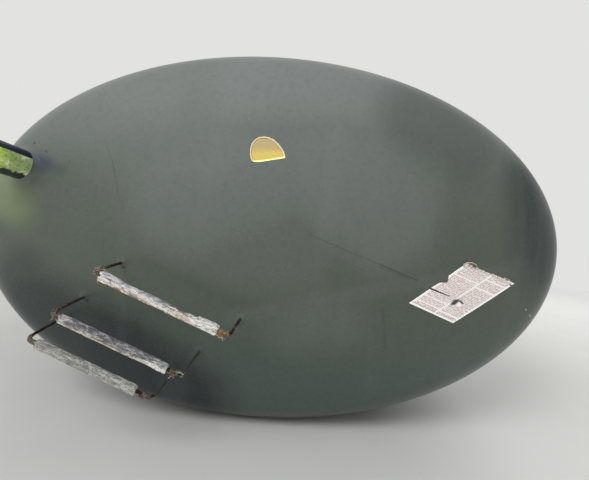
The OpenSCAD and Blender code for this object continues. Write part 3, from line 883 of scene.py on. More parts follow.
def row_gaps(f, t, places):
    """Mask of the white gaps between a column's rows."""
    mask = None
    for place in places:
        gap = f.ease((t - place).size(), 0.011, 0.007)
        mask = mask.or_more(gap) if mask else gap
    return mask


# Where each column has a gap between its rows, up the page
LEFT_GAPS = (0.110, 0.235, 0.740)
RIGHT_GAPS = (0.095, 0.675, 0.860)

# The bare spot in the sheet's print and the dark smudge over it, on the sheet's own scale
PRINT_BARE = (((0.655, 0.322, 0), (0.700, 0.305, 0), 0.036, 0.90),)
PRINT_PATCH = (
    ((0.590, 0.296, 0), (0.566, 0.338, 0), 0.046, 0.98),
    ((0.568, 0.350, 0), (0.640, 0.366, 0), 0.018, 0.96),
    ((0.650, 0.360, 0), (0.712, 0.345, 0), 0.015, 0.95),
)


def zinc_steel():
    """Dull zinc with small bloom and rust at the edges."""
    f = Finish("zinc_steel")
    bloom = f.cells(260.0, out="Color")
    spangle = f.node("ShaderNodeSeparateColor", inputs={0: bloom})
    stain = f.noise(34.0, 4.0, seed=1.0)
    tone = f.mix(spangle * 0.35, colour("zinc"), srgb(186, 188, 190))
    tone = f.mix(f.ease(stain, 0.56, 0.68) * 0.55, tone, srgb(128, 92, 66))
    return f.shell(tone, 0.48 + spangle * 0.14, metal=0.75)


def black_rubber():
    """Dull black gasket."""
    f = Finish("black_rubber")
    dust = f.noise(120.0, 3.0, seed=1.0)
    tone = f.mix(f.ease(dust, 0.48, 0.66) * 0.35, colour("rubber"), srgb(86, 88, 86))
    return f.shell(tone, 0.75, ((dust, 0.0004, 0.6),), specular=0.3)


# Pieces of the tank

STUB_PLACE = (-0.962, 0.214)
SIDES = 192


def dish_stations(skirt_rings=3, knuckle_rings=9, crown_rings=26):
    """Rings of a dished end from the barrel to the crown."""
    stations = []
    for i in range(skirt_rings):
        stations.append((1.0, BARREL_END + (RIM_Y - BARREL_END) * i / skirt_rings))
    tangent = asin(CROWN_X / (CROWN - KNUCKLE))
    for i in range(knuckle_rings + 1):
        a = i * (pi / 2 - tangent) / knuckle_rings
        stations.append(((CROWN_X + KNUCKLE * cos(a)) / HALF_H, RIM_Y + KNUCKLE * sin(a)))
    for i in range(1, crown_rings):
        a = tangent * (1 - i / crown_rings)
        stations.append((CROWN * sin(a) / HALF_H, RIM_Y + DISH - CROWN + CROWN * cos(a)))
    rings = [(HALF_W * share, HALF_H * share, z) for share, z in stations]
    return rings + [(0, 0, RIM_Y + DISH)]


def dished_end(name, matrix):
    """An oval dished end with its skirt and its wall."""
    piece = turned(name, dish_stations(), sides=SIDES)
    modify(piece, "SOLIDIFY", thickness=sizes().wall, offset=-1, use_even_offset=True)
    place(piece, matrix)
    return piece


# The half-moon hole: turn of its oval, slope of its sill, and its heart's height as a share of its width
HOLE_TURN = radians(58)
SILL_SLOPE = radians(13)
HEART = 0.2


def spun(x, y, angle):
    """A flat place turned round its middle."""
    return x * cos(angle) - y * sin(angle), x * sin(angle) + y * cos(angle)


def hole_outline(turn, grow):
    """Place on the half-moon's outline in a direction from its heart, grown by a breadth."""
    s = sizes()
    heart = HEART * s.hole_d
    far, near = s.hole_long / 2 - s.rim_in + grow, s.hole_d / 2 - s.rim_in + grow
    x, y = spun(0, heart, SILL_SLOPE + HOLE_TURN)
    dx, dy = spun(cos(turn), sin(turn), SILL_SLOPE + HOLE_TURN)
    start, way = Vector((x / far, y / near)), Vector((dx / far, dy / near))
    ahead = start.dot(way)
    reach = (sqrt(ahead ** 2 - way.length_squared * (start.length_squared - 1)) - ahead) / way.length_squared
    drop = heart + s.sill_drop + grow * s.sill_edge / s.chamfer
    if sin(turn) < 0:
        flat = -drop / sin(turn)
        round_off = 0.0035 + 0.006 * ease(-cos(turn), 0.1, 0.8)
        nearer = min(reach, flat)
        reach = nearer - round_off * log(1 + exp(-abs(reach - flat) / round_off))
    return spun(reach * cos(turn), heart + reach * sin(turn), SILL_SLOPE)


def half_moon_cutter():
    """Cuts the half-moon hole along the tank, with its rough outer edge."""
    s = sizes()
    steps = ((3.0, 0.010), (1.0, 0.0), (0.15, -0.0026), (0.15, -0.0046), (0.0, -0.0050), (0.0, -0.05))
    stations = [(1 + grow, 1 + grow, lift) for grow, lift in steps]
    cutter = turned("cutter", [(0, 0, 0.010)] + stations + [(0, 0, -0.05)], sides=240)

    def to_outline(p):
        x, y = spun(0, HEART * s.hole_d, SILL_SLOPE)
        if hypot(p.x, p.y) > 0.5:
            turn = atan2(p.y, p.x)
            rag = 1 + 0.5 * (ripple(41, cos(turn) * 9, sin(turn) * 9, p.z * 90) - 0.5)
            x, y = hole_outline(turn, (hypot(p.x, p.y) - 1) * s.chamfer * rag)
        return front_point(s.hole_u + x, s.hole_v + y) - Vector((0, p.z, 0))

    sculpt(cutter, to_outline)
    tidy(cutter)
    return cutter


class TANK_OT_front_end(bpy.types.Operator):
    """Builds the dished front end with its half-moon hole"""

    bl_idname = "tank.front_end"
    bl_label = "Front end"

    def execute(self, context):
        s = sizes()
        piece = dished_end("front_end", TO_FRONT)

        def waves(p):
            if p.y < -RIM_Y + 0.001:
                p.y += wave_depth(p.x, p.z - AXIS_Z)
            return p

        sculpt(piece, waves)
        stub_cutter = round_cutter(s.stub_d / 2 - s.stub_t, -0.1, 0.1)
        place(stub_cutter, on_front(*STUB_PLACE))
        cut(piece, half_moon_cutter(), stub_cutter)
        middle = Vector((0, 0, AXIS_Z))

        def depth(p):
            return p.y - front_point(p.x, p.z - AXIS_Z).y

        def in_edge(p, low, high):
            by_hole = hypot(p.x - s.hole_u, p.z - AXIS_Z - s.hole_v) < s.hole_long
            return by_hole and low < depth(p) < high

        def over_sill(p):
            return spun(p.x - s.hole_u, p.z - AXIS_Z - s.hole_v, -SILL_SLOPE)[1] + s.sill_drop

        paint(piece, finish(front_gelcoat))
        paint(piece, finish(inside_laminate), lambda p, n: n.dot(p - middle) < 0 and depth(p) > s.wall / 2)
        paint(piece, finish(cut_edge), lambda p, n: in_edge(p, 0.0003, s.wall * 0.95))
        paint(piece, finish(cut_line), lambda p, n: in_edge(p, 0.0027, 0.0049) and over_sill(p) > 0.002)
        paint(piece, finish(sill_light), lambda p, n: in_edge(p, 0.0003, 0.0049) and over_sill(p) < 0.0005)
        hand_over(piece, "green_laminate", "front_head")
        return {"FINISHED"}


class TANK_OT_rear_end(bpy.types.Operator):
    """Builds the dished rear end with the outlet's hole"""

    bl_idname = "tank.rear_end"
    bl_label = "Rear end"

    def execute(self, context):
        piece = dished_end("rear_end", TO_REAR)
        low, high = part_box("outlet_neck")
        cutter = round_cutter(OUTLET_BORE / 2, 1.9, 2.2)
        place(cutter, Matrix.Translation((0, 0, (low.z + high.z) / 2)) @ Matrix.Rotation(-pi / 2, 4, "X"))
        cut(piece, cutter)
        middle = Vector((0, 0, AXIS_Z))
        paint(piece, finish(tank_gelcoat))
        paint(piece, finish(inside_laminate), lambda p, n: n.dot(p - middle) < 0)
        hand_over(piece, "green_laminate", "rear_head")
        return {"FINISHED"}


def barrel_ring(name, node, start, end, holes):
    """One ring of the barrel, with round holes of place and radius through its top."""
    wall = sizes().wall
    steps = 12
    outer = [(HALF_W, HALF_H, start + (end - start) * i / steps) for i in range(steps + 1)]
    inner = [(HALF_W - wall, HALF_H - wall, ring[2]) for ring in reversed(outer)]
    piece = turned(name, outer + inner, sides=SIDES, loop=True)
    place(piece, TO_REAR)

    def waves(p):
        shift = 1 - 0.0012 * ripple(4, p.x / 0.3, p.y / 0.35, p.z / 0.3)
        return Vector((p.x * shift, p.y, AXIS_Z + (p.z - AXIS_Z) * shift))

    sculpt(piece, waves)
    for y, r in holes:
        cutter = round_cutter(r, 1.3, 1.6, 64)
        place(cutter, Matrix.Translation((0, y, 0)))
        cut(piece, cutter)
    paint(piece, finish(tank_gelcoat))
    paint(piece, finish(inside_laminate), lambda p, n: n.x * p.x + n.z * (p.z - AXIS_Z) < -0.01)
    return hand_over(piece, "green_laminate", node)


class TANK_OT_barrel(bpy.types.Operator):
    """Builds the three rings of the barrel"""

    bl_idname = "tank.barrel"
    bl_label = "Barrel"

    def execute(self, context):
        vent_y = middle_of("vent_collar").y
        fill_y = middle_of("fill_collar").y
        way_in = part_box("manway_gasket")[1].x - MANWAY_RIM
        barrel_ring("front_ring", "shell_front", -BARREL_END, -RING_END, [(vent_y, VENT_BORE / 2)])
        barrel_ring("middle_ring", "shell_middle", -RING_END, RING_END, [(0, way_in)])
        barrel_ring("rear_ring", "shell_rear", RING_END, BARREL_END, [(fill_y, FILL_BORE / 2)])
        return {"FINISHED"}


def joint_band(name, node):
    """One laminated band over a joint, thin and uneven towards its edges."""
    y = middle_of(node).y
    s = sizes()
    half = s.band_w / 2
    profile = ((-1.0, 0.0), (-0.97, 0.35), (-0.84, 0.80), (-0.6, 0.97), (-0.2, 1.0), (0.2, 1.0), (0.6, 0.97),
               (0.84, 0.80), (0.97, 0.35), (1.0, 0.0), (0.9, -0.2), (-0.9, -0.2))
    rings = [(HALF_W + rise * s.band_t, HALF_H + rise * s.band_t, half * share) for share, rise in profile]
    piece = turned(name, rings, sides=SIDES * 2, loop=True)
    place(piece, TO_REAR)

    def uneven(p):
        share = p.y / half
        turn = Vector((p.x / HALF_W, 0, (p.z - AXIS_Z) / HALF_H))
        rag = ripple(y + (7 if share > 0 else 3), turn.x * 9, turn.z * 9)
        thin = 1 - 0.0010 * ripple(y + 5, turn.x * 14, turn.z * 14, share * 2)
        p.y *= 1 - 0.16 * rag * abs(share) ** 4
        return Vector((p.x * thin, p.y + y, AXIS_Z + (p.z - AXIS_Z) * thin))

    sculpt(piece, uneven)
    paint(piece, finish(band_laminate))
    return hand_over(piece, "band_laminate", node)


class TANK_OT_joint_bands(bpy.types.Operator):
    """Builds the laminated bands over the four joints"""

    bl_idname = "tank.joint_bands"
    bl_label = "Joint bands"

    def execute(self, context):
        joint_band("band_front_end", "front_joint_band")
        joint_band("band_front_rings", "strake_band_front")
        joint_band("band_rear_rings", "strake_band_rear")
        joint_band("band_rear_end", "rear_joint_band")
        return {"FINISHED"}


# Rungs

# The rungs: slope of their row and of each, distances down the row, and the place of the first on the end
RUNGS = ("upper", "middle", "lower")
LADDER_SLOPE = radians(43)
RUNG_SLOPE = radians(21.5)
RUNG_STEPS = (0, 0.203, 0.337)
FIRST_RUNG = (-0.292, -0.214)

# Where each tread ends along its rod, worn back at the right on the lower two
TREAD_ENDS = ((-0.211, 0.198), (-0.201, 0.187), (-0.198, 0.176))


def rung_frame(i):
    """From a rung's own frame, +X along its tread and +Z out of the tank, to the tank's."""
    u = FIRST_RUNG[0] - RUNG_STEPS[i] * cos(LADDER_SLOPE)
    v = FIRST_RUNG[1] - RUNG_STEPS[i] * sin(LADDER_SLOPE)
    return on_front(u, v) @ Matrix.Rotation(-RUNG_SLOPE, 4, "Z")


def leg_foot(i, side):
    """Height in the rung's own frame at which a leg meets the tank."""
    frame_of = rung_frame(i)
    low, high = -0.05, sizes().leg_h
    for halving in range(30):
        z = (low + high) / 2
        p = frame_of @ Vector((side * sizes().leg_gap / 2, 0, z))
        outside = p.y < front_point(p.x, p.z - AXIS_Z).y
        low, high = (low, z) if outside else (z, high)
    return (low + high) / 2


def rung_rod(i):
    """The steel of a rung: two legs, two bends and the bar inside the tread."""
    s = sizes()
    half = s.leg_gap / 2
    r = s.rod_d / 2
    left, right = leg_foot(i, -1) - s.wall / 2, leg_foot(i, 1) - s.wall / 2
    rod = new_circle(f"{RUNGS[i]}_rod", 16, r, r, left)
    place(rod, Matrix.Translation((-half, 0, 0)))
    straight = s.leg_h - s.bend_r
    with editing(rod, everything=True):
        extrude((0, 0, (straight - left) / 8), 8)
        bpy.ops.mesh.spin(steps=8, angle=pi / 2, center=(s.bend_r - half, 0, straight), axis=(0, -1, 0))
        extrude(((s.leg_gap - 2 * s.bend_r) / 16, 0, 0), 16)
        bpy.ops.mesh.spin(steps=8, angle=pi / 2, center=(half - s.bend_r, 0, straight), axis=(0, -1, 0))
        extrude((0, 0, (right - straight) / 8), 8)
    close_ends(rod)

    def pitted(p):
        k = 0.92 - 0.20 * ripple(i + 20, p.x * 60, p.y * 60, p.z * 60)
        if p.z < straight:
            x = half if p.x > 0 else -half
            return Vector((x + (p.x - x) * k, p.y * k, p.z))
        return Vector((p.x, p.y * k, p.z))

    sculpt(rod, pitted)
    paint(rod, finish(rod_rust))
    if i > 0:
        paint(rod, finish(coated_rod), lambda p, n: p.x > 0 and p.z < straight + 0.012)
    place(rod, rung_frame(i))
    return hand_over(rod, "rusty_rod", f"rung_{RUNGS[i]}_rod", angle=50)


def rung_tread(i):
    """The laminated tread: a flat bar of glass and resin with small corners, flaked and torn."""
    s = sizes()
    start, end = TREAD_ENDS[i]
    steps = 210
    stations = [(1, 1, start + (end - start) * k / steps) for k in range(steps + 1)]
    tread = turned(f"{RUNGS[i]}_tread", [(0, 0, start)] + stations + [(0, 0, end)], sides=48)

    def shaped(p):
        x = p.z
        turn = atan2(p.y, p.x)
        if hypot(p.x, p.y) < 1e-6:
            return Vector((x, 0, s.leg_h))
        corner = 9.0
        k = (abs(cos(turn)) ** corner + abs(sin(turn)) ** corner) ** (-1 / corner)
        across = s.tread_w / 2 * k * cos(turn)
        out = s.tread_d / 2 * k * sin(turn)
        near_end = max(ease(x, start + 0.010, start), ease(x, end - 0.010, end))
        flake = ripple(i + 30, x * 14, across * 70, out * 70)
        fine = ripple(i + 33, x * 85, across * 230, out * 230)
        torn = near_end * ripple(i + 36, across * 90, out * 90)
        sink = 0.0013 * ease(flake, 0.50, 0.62) + 0.0016 * fine + 0.0026 * torn
        if i == 0:
            flaked = ease(across, 0.006, 0.014) * ease(x, 0.046, 0.058) * ease(x, 0.128, 0.120)
            worn = ease(across, 0.0, 0.015) * ease(x, -0.190, -0.110) * ease(x, 0.180, 0.030)
            sink += 0.0045 * flaked * (0.4 + fine)
            across -= 0.0065 * worn
        if i == 1:
            across *= 0.92
        reach = hypot(across, out)
        across *= 1 - sink / reach
        out *= 1 - sink / reach
        x += near_end * 0.006 * (ripple(i + 39, across * 60, out * 60) - 0.7) * (1 if x > 0 else -1)
        return Vector((x, across + 0.0008 * sin(x * 9 + i), s.leg_h + out))

    sculpt(tread, shaped)
    tidy(tread)
    place(tread, rung_frame(i))
    paint(tread, tread_finish(i))
    return hand_over(tread, "white_laminate", f"rung_{RUNGS[i]}_tread", angle=50)


def rod_place(side, along):
    """Place on a rod's middle line at a distance from its tread's end, in the rung's own frame."""
    s = sizes()
    half = s.leg_gap / 2
    bar = half - s.bend_r - s.tread_l / 2
    turn = pi / 2 * s.bend_r
    if along < bar:
        return Vector((side * (s.tread_l / 2 + along), 0, s.leg_h))
    if along < bar + turn:
        a = (along - bar) / s.bend_r
        across = half - s.bend_r + s.bend_r * sin(a)
        return Vector((side * across, 0, s.leg_h - s.bend_r + s.bend_r * cos(a)))
    return Vector((side * half, 0, s.leg_h - s.bend_r - (along - bar - turn)))


def wrapping(i, side, start, end, thick, material, seed):
    """Fibre and resin left round a rod, lumpy, thinner towards the foot."""
    steps = 40
    stations = [(0, 0, 0)] + [(1, 1, k / steps) for k in range(steps + 1)] + [(0, 0, 1)]
    sleeve = turned("wrapping", stations, sides=20)

    def laid(p):
        along = start + (end - start) * p.z
        here, ahead = rod_place(side, along), rod_place(side, along + 0.002)
        way = (ahead - here).normalized()
        across = Vector((0, 1, 0))
        out = way.cross(across)
        turn = atan2(p.y, p.x)
        lumps = 0.55 + 0.9 * ripple(seed, along * 70, cos(turn) * 1.3, sin(turn) * 1.3)
        grain = 0.8 + 0.4 * ripple(seed + 1, along * 400, cos(turn) * 4, sin(turn) * 4)
        r = thick * (1 - 0.55 * p.z) * hypot(p.x, p.y) * lumps * grain
        r = max(r, 0.0) * ease(p.z, -0.02, 0.06) * ease(p.z, 1.02, 0.90)
        return here + r * (cos(turn) * across + sin(turn) * out)

    sculpt(sleeve, laid)
    place(sleeve, rung_frame(i))
    paint(sleeve, material)
    return sleeve


def strand(name, points, thick, material, matrix):
    """A loose tapering strand through points of a rung's own frame."""
    curve = bpy.data.curves.new(name, "CURVE")
    curve.dimensions = "3D"
    curve.bevel_depth = 1.0
    curve.bevel_resolution = 1
    curve.use_fill_caps = True
    spline = curve.splines.new("POLY")
    spline.points.add(len(points) - 1)
    for k, (point, spot) in enumerate(zip(points, spline.points)):
        spot.co = (*point, 1)
        spot.radius = thick * (1 - 0.8 * k / (len(points) - 1))
    piece = bpy.data.objects.new(name, curve)
    bpy.context.scene.collection.objects.link(piece)
    choose(piece)
    bpy.ops.object.convert(target="MESH")
    piece = bpy.context.object
    piece.matrix_world = matrix
    choose(piece)
    bpy.ops.object.transform_apply(location=True, rotation=True, scale=True)
    paint(piece, material)
    return piece


def frays(i, side, count, reach, material, seed):
    """Loose strands at one end of a rung, fanned along its bar."""
    s = sizes()
    made = []
    for k in range(count):
        a = FULL * ripple(seed, k * 1.7)
        b = ripple(seed + 1, k * 2.3)
        start = Vector((side * (s.tread_l / 2 - 0.012), 0.012 * cos(a), s.leg_h + 0.008 * sin(a)))
        far = reach * (0.45 + 0.55 * b)
        points = [start]
        for step in range(1, 5):
            t = step / 4
            lift = 0.010 * (ripple(seed + 2, k * 3.1, t * 2) - 0.5) * t * 2
            fall = 0.006 * sin(a) * t - 0.006 * t * t
            points.append(start + Vector((side * far * t, lift + 0.006 * cos(a) * t, fall)))
        made.append(strand("strand", points, 0.0006 + 0.0010 * b, material, rung_frame(i)))
    return made


def fuzz(i, side, start, end, count, reach, material, seed):
    """Short strands that stand off a rod along its wrapping."""
    made = []
    for k in range(count):
        along = start + (end - start) * ripple(seed, k * 2.7) ** 1.2
        turn = FULL * 2 * ripple(seed + 1, k * 1.9)
        here, ahead = rod_place(side, along), rod_place(side, along + 0.002)
        way = (ahead - here).normalized()
        across = Vector((0, 1, 0))
        out = cos(turn) * across + sin(turn) * way.cross(across)
        far = reach * (0.4 + 0.9 * ripple(seed + 2, k * 3.3))
        lean = way * far * (ripple(seed + 3, k * 4.1) - 0.3)
        bends = ((0.0, 0.0), (0.4, 0.2), (0.8, 0.6), (1.0, 1.0))
        points = [here + out * far * reached + lean * leaning for reached, leaning in bends]
        made.append(strand("fuzz", points, 0.0013, material, rung_frame(i)))
    return made


def tufts():
    """The larger curls at the rungs' ends."""
    made = []
    for i, side, along, steps, thick, maker in TUFTS:
        here = rod_place(side, along)
        points = [here] + [here + Vector((side * x, y, z)) for x, y, z in steps]
        made.append(strand("tuft", points, thick, finish(maker), rung_frame(i)))
    return made


def leg_patch(name, i, side):
    """Resin laid over the foot of a leg, uneven at its edge."""
    s = sizes()
    spot = rung_frame(i) @ Vector((side * s.leg_gap / 2, 0, leg_foot(i, side)))
    r = s.patch_d / 2
    profile = ((0, 0.0), (1.0, 0.0), (0.97, 0.0005), (0.80, 0.0011), (0.62, 0.0022), (0.46, 0.0040),
               (0.33, 0.0060), (0, 0.0068))
    patch = turned(name, [(r * share, r * share, lift) for share, lift in profile], sides=44)
    seed = 50 + 2 * i + side

    def uneven(p):
        turn = atan2(p.y, p.x)
        share = hypot(p.x, p.y) / r
        grow = 1 - 0.30 * share * ripple(seed, cos(turn) * 2.2, sin(turn) * 2.2)
        grow += 0.06 * share * (ripple(seed + 9, cos(turn) * 7, sin(turn) * 7) - 0.5)
        lift = p.z * (0.75 + 0.5 * ripple(seed + 4, p.x * 90, p.y * 90))
        return front_point(spot.x + p.x * grow, spot.z - AXIS_Z + p.y * grow, lift - 0.0004)

    sculpt(patch, uneven)
    tidy(patch)
    return patch


class TANK_OT_rungs(bpy.types.Operator):
    """Builds the three rungs: rods, laminated treads, patches, wrappings and loose strands"""

    bl_idname = "tank.rungs"
    bl_label = "Rungs"

    def execute(self, context):
        patches = []
        for i, name in enumerate(RUNGS):
            rung_rod(i)
            rung_tread(i)
            for side, label in ((-1, "left"), (1, "right")):
                patches.append(leg_patch(f"patch_{name}_{label}", i, side))
        patch = joined("rung_patches", patches)
        paint(patch, finish(front_gelcoat))
        hand_over(patch, "band_laminate", "rung_pads", angle=50)
        wraps = []
        for i, side, start, end, thick, maker, seed in WRAPS:
            wraps.append(wrapping(i, side, start, end, thick, finish(maker), seed))
        hand_over(joined("rod_wrappings", wraps), "white_laminate", angle=60)
        loose = []
        for i, side, count, reach, maker, seed in FRAYS:
            loose += frays(i, side, count, reach, finish(maker), seed)
        for i, side, start, end, count, reach, maker, seed in FUZZ:
            loose += fuzz(i, side, start, end, count, reach, finish(maker), seed)
        loose += tufts()
        hand_over(joined("loose_strands", loose), "white_laminate", angle=60)
        return {"FINISHED"}


# Fibre left round the rods: rung, side, from and to along the rod, thickness, finish, seed
WRAPS = (
    (0, -1, -0.004, 0.112, 0.0098, dark_fibre, 131),
    (1, -1, -0.004, 0.100, 0.0094, dark_fibre, 134),
    (2, -1, -0.004, 0.060, 0.0084, dark_fibre, 137),
    (0, 1, -0.004, 0.034, 0.0115, tan_fibre, 140),
    (1, 1, -0.006, 0.040, 0.0085, dark_fibre, 143),
    (2, 1, -0.004, 0.026, 0.0106, mauve_rust, 146),
)

# Short strands off the rods: rung, side, from and to along the rod, how many, reach, finish, seed
FUZZ = (
    (0, -1, 0.000, 0.110, 16, 0.014, white_fibre, 151),
    (0, -1, 0.020, 0.130, 14, 0.012, dark_fibre, 155),
    (1, -1, 0.000, 0.110, 18, 0.011, dark_fibre, 159),
    (1, -1, 0.000, 0.050, 6, 0.012, lime_fibre, 163),
    (2, -1, 0.000, 0.080, 10, 0.010, dark_fibre, 167),
    (0, 1, 0.000, 0.060, 10, 0.011, tan_fibre, 171),
    (0, 1, 0.060, 0.120, 5, 0.008, white_fibre, 175),
    (1, 1, 0.000, 0.060, 12, 0.013, lime_fibre, 179),
    (2, 1, 0.000, 0.028, 8, 0.008, mauve_rust, 183),
)

# Curls: rung, side, place along the rod, then steps outwards, across and off the tank, thickness, finish
TUFTS = (
    (1, 1, 0.004, ((0.002, -0.010, 0), (0.000, -0.020, -0.002), (-0.006, -0.034, -0.004)),
     0.0042, white_fibre),
    (1, 1, 0.008, ((0.003, -0.012, 0), (0.006, -0.022, -0.002), (0.002, -0.030, -0.004)),
     0.0030, grey_fibre),
    (1, 1, 0.010, ((0.010, 0.006, 0), (0.022, 0.010, 0), (0.031, 0.006, 0), (0.030, -0.004, 0),
                   (0.020, -0.005, 0)), 0.0042, lime_fibre),
    (0, 1, 0.006, ((0.004, -0.010, 0), (0.012, -0.016, 0), (0.016, -0.024, 0)), 0.0034, white_fibre),
    (0, 1, 0.004, ((-0.002, -0.010, 0.002), (0.002, -0.020, 0.002), (0.010, -0.020, 0)), 0.0034, tan_fibre),
    (0, -1, 0.000, ((0.010, 0.004, 0), (0.018, 0.014, 0), (0.010, 0.022, 0), (0.000, 0.018, 0)),
     0.0040, tan_fibre),
    (0, -1, -0.004, ((0.010, -0.006, 0), (0.016, -0.016, 0), (0.012, -0.026, 0)), 0.0040, white_fibre),
    (0, -1, 0.050, ((-0.006, 0.006, 0), (-0.020, 0.010, 0.002), (-0.034, 0.008, 0.002)), 0.0036, grey_fibre),
    (1, -1, 0.002, ((0.010, -0.004, 0), (0.020, -0.014, 0), (0.026, -0.026, 0)), 0.0040, lime_fibre),
    (1, -1, 0.000, ((0.012, 0.004, 0), (0.022, -0.006, 0), (0.034, -0.012, 0)), 0.0030, dark_fibre),
    (2, 1, 0.008, ((0.008, -0.006, 0), (0.018, -0.006, 0), (0.022, 0.004, 0), (0.014, 0.010, 0)),
     0.0050, mauve_rust),
)

# Loose strands: rung, side, how many, reach, finish, seed
FRAYS = (
    (0, -1, 9, 0.026, white_fibre, 61),
    (0, 1, 8, 0.040, tan_fibre, 64),
    (0, 1, 4, 0.050, white_fibre, 65),
    (1, -1, 7, 0.034, lime_fibre, 67),
    (1, 1, 9, 0.046, dark_fibre, 70),
    (1, 1, 4, 0.038, white_fibre, 71),
    (2, -1, 5, 0.022, dark_fibre, 73),
    (2, 1, 7, 0.026, tan_fibre, 76),
)


def tread_finish(i):
    """A tread's own weathering: bare fibre, grey resin, rust, by rung, with a faint painted glow."""
    f = Finish(f"tread_{RUNGS[i]}")
    own = f.own_frame(rung_frame(i))
    y = f.axes(own)[1]
    flat = f.vector("MULTIPLY", own, (1, 1, 0))
    streaks = f.noise(84.0, 6.0, (0.6, 2.2, 2.2), seed=i + 1.0, place=own, rough=0.72)
    broad = f.noise(18.0, 3.0, (1, 4, 4), seed=i + 5.0, place=own)
    specks = f.noise(230.0, 3.0, (0.6, 1.2, 1.2), seed=i + 3.0, place=own, rough=0.65)
    rag = (streaks - 0.5) * 0.030 + (broad - 0.5) * 0.014
    upper, lower, body = TREAD_TONES[i]
    dark, many, flake, speckle, bare = TREAD_FLECKS[i]
    tone = f.mix(f.ease(y + rag, 0.000, 0.005), body, upper)
    tone = f.mix(f.ease(y + rag, -0.005, -0.009) * 0.85, tone, lower)
    for spots, shade in TREAD_STAINS[i]:
        tone = f.mix(f.strokes(spots, flat, (streaks - 0.5) * 5.0), tone, shade)
    pale = f.ease(streaks + (broad - 0.5) * 0.4, 0.485, 0.425)
    tone = f.mix(pale * bare, tone, srgb(250, 248, 244))
    flecks = f.ease(streaks + (broad - 0.5) * 0.5, 0.60 - many, 0.66 - many)
    tone = f.mix(flecks * flake, tone, dark)
    tone = f.mix(f.ease(specks, 0.54, 0.60) * speckle, tone, dark)
    bumps = ((streaks, 0.0016, 1.0), (specks, 0.0006, 0.8))
    # Painted light: a faint glow in the tread's own colour
    return f.shell(tone, 0.72, bumps, specular=0.3, glow=tone, glow_strength=0.06)


# Flecks of each tread: colour, spread, strength of its flakes and its specks, and of the bare white glass
TREAD_FLECKS = (
    (srgb(92, 86, 92), 0.035, 0.70, 0.45, 0.75),
    (srgb(74, 70, 74), 0.055, 0.60, 0.55, 0.40),
    (srgb(86, 86, 82), 0.050, 0.40, 0.80, 0.34),
)


# Colours of each tread: along its upper edge, its lower edge and its face
TREAD_TONES = (
    (srgb(158, 158, 168), srgb(206, 180, 160), srgb(222, 218, 212)),
    (srgb(112, 114, 121), srgb(222, 213, 200), srgb(158, 153, 147)),
    (srgb(156, 158, 154), srgb(176, 172, 164), srgb(166, 166, 157)),
)

# Stains of each tread: lines of start, end, half width and strength along it, with their colour
TREAD_STAINS = (
    (
        ((((-0.202, 0.010, 0), (-0.150, 0.012, 0), 0.006, 0.5),), srgb(226, 222, 214)),
        ((((-0.176, -0.013, 0), (-0.132, -0.014, 0), 0.005, 0.85),
          ((-0.094, -0.014, 0), (-0.042, -0.014, 0), 0.005, 0.8)), srgb(146, 106, 82)),
        ((((0.036, 0.008, 0), (0.120, 0.010, 0), 0.006, 0.85),), srgb(96, 72, 60)),
        ((((0.052, -0.002, 0), (0.100, -0.006, 0), 0.007, 0.6),), srgb(206, 176, 156)),
        ((((0.012, -0.004, 0), (0.030, 0.006, 0), 0.0022, 0.9),), srgb(52, 46, 44)),
        ((((0.140, 0.0, 0), (0.200, 0.0, 0), 0.024, 0.85),), srgb(238, 237, 234)),
    ),
    (
        ((((0.130, -0.006, 0), (0.185, -0.006, 0), 0.014, 0.9),), srgb(236, 230, 222)),
        ((((-0.195, -0.006, 0), (-0.180, 0.010, 0), 0.010, 0.6),), srgb(196, 192, 186)),
        ((((-0.120, 0.010, 0), (0.080, 0.010, 0), 0.005, 0.5),), srgb(92, 87, 90)),
        ((((-0.060, -0.004, 0), (0.050, -0.002, 0), 0.003, 0.6),), srgb(104, 84, 72)),
    ),
    (
        ((((0.150, -0.002, 0), (0.182, -0.002, 0), 0.018, 0.5),), srgb(212, 210, 204)),
    ),
)


class TANK_OT_side_stub(bpy.types.Operator):
    """Builds the pipe stub at the end's left with its collar"""

    bl_idname = "tank.side_stub"
    bl_label = "Side stub"

    def execute(self, context):
        s = sizes()
        outer = s.stub_d / 2
        inner = outer - s.stub_t
        steps = 24
        climb = [-0.006 + (s.stub_l + 0.006) * k / steps for k in range(steps + 1)]
        stations = [(outer, outer, z) for z in climb] + [(inner, inner, z) for z in reversed(climb)]
        stub = turned("pipe_stub", stations, sides=72, loop=True)

        def ragged(p):
            turn = atan2(p.y, p.x)
            torn = ease(p.z, s.stub_l * 0.75, s.stub_l)
            p.z -= torn * 0.020 * ripple(81, cos(turn) * 3, sin(turn) * 3)
            p.z -= torn * 0.006 * ripple(82, cos(turn) * 14, sin(turn) * 14)
            k = 1 - 0.02 * ripple(83, cos(turn) * 3, sin(turn) * 3, p.z * 12)
            return Vector((p.x * k, p.y * k, p.z))

        sculpt(stub, ragged)
        place(stub, on_front(*STUB_PLACE))
        paint(stub, finish(stub_finish))
        hand_over(stub, "lime_laminate", "side_stub")
        broad = outer + 0.030
        profile = ((outer - 0.002, 0), (broad, 0), (broad - 0.005, 0.0006), (outer + 0.015, 0.003),
                   (outer + 0.006, 0.007), (outer - 0.002, 0.010))
        collar = turned("stub_collar", [(r, r, z) for r, z in profile], sides=72, loop=True)

        def laid(p):
            turn = atan2(p.y, p.x)
            share = (hypot(p.x, p.y) - outer) / 0.030
            grow = 1 - 0.10 * max(share, 0) * ripple(84, cos(turn) * 4, sin(turn) * 4)
            return front_point(STUB_PLACE[0] + p.x * grow, STUB_PLACE[1] + p.y * grow, p.z - 0.0004)

        sculpt(collar, laid)
        tidy(collar)
        paint(collar, finish(front_gelcoat))
        hand_over(collar, "band_laminate", "side_stub_collar")
        return {"FINISHED"}


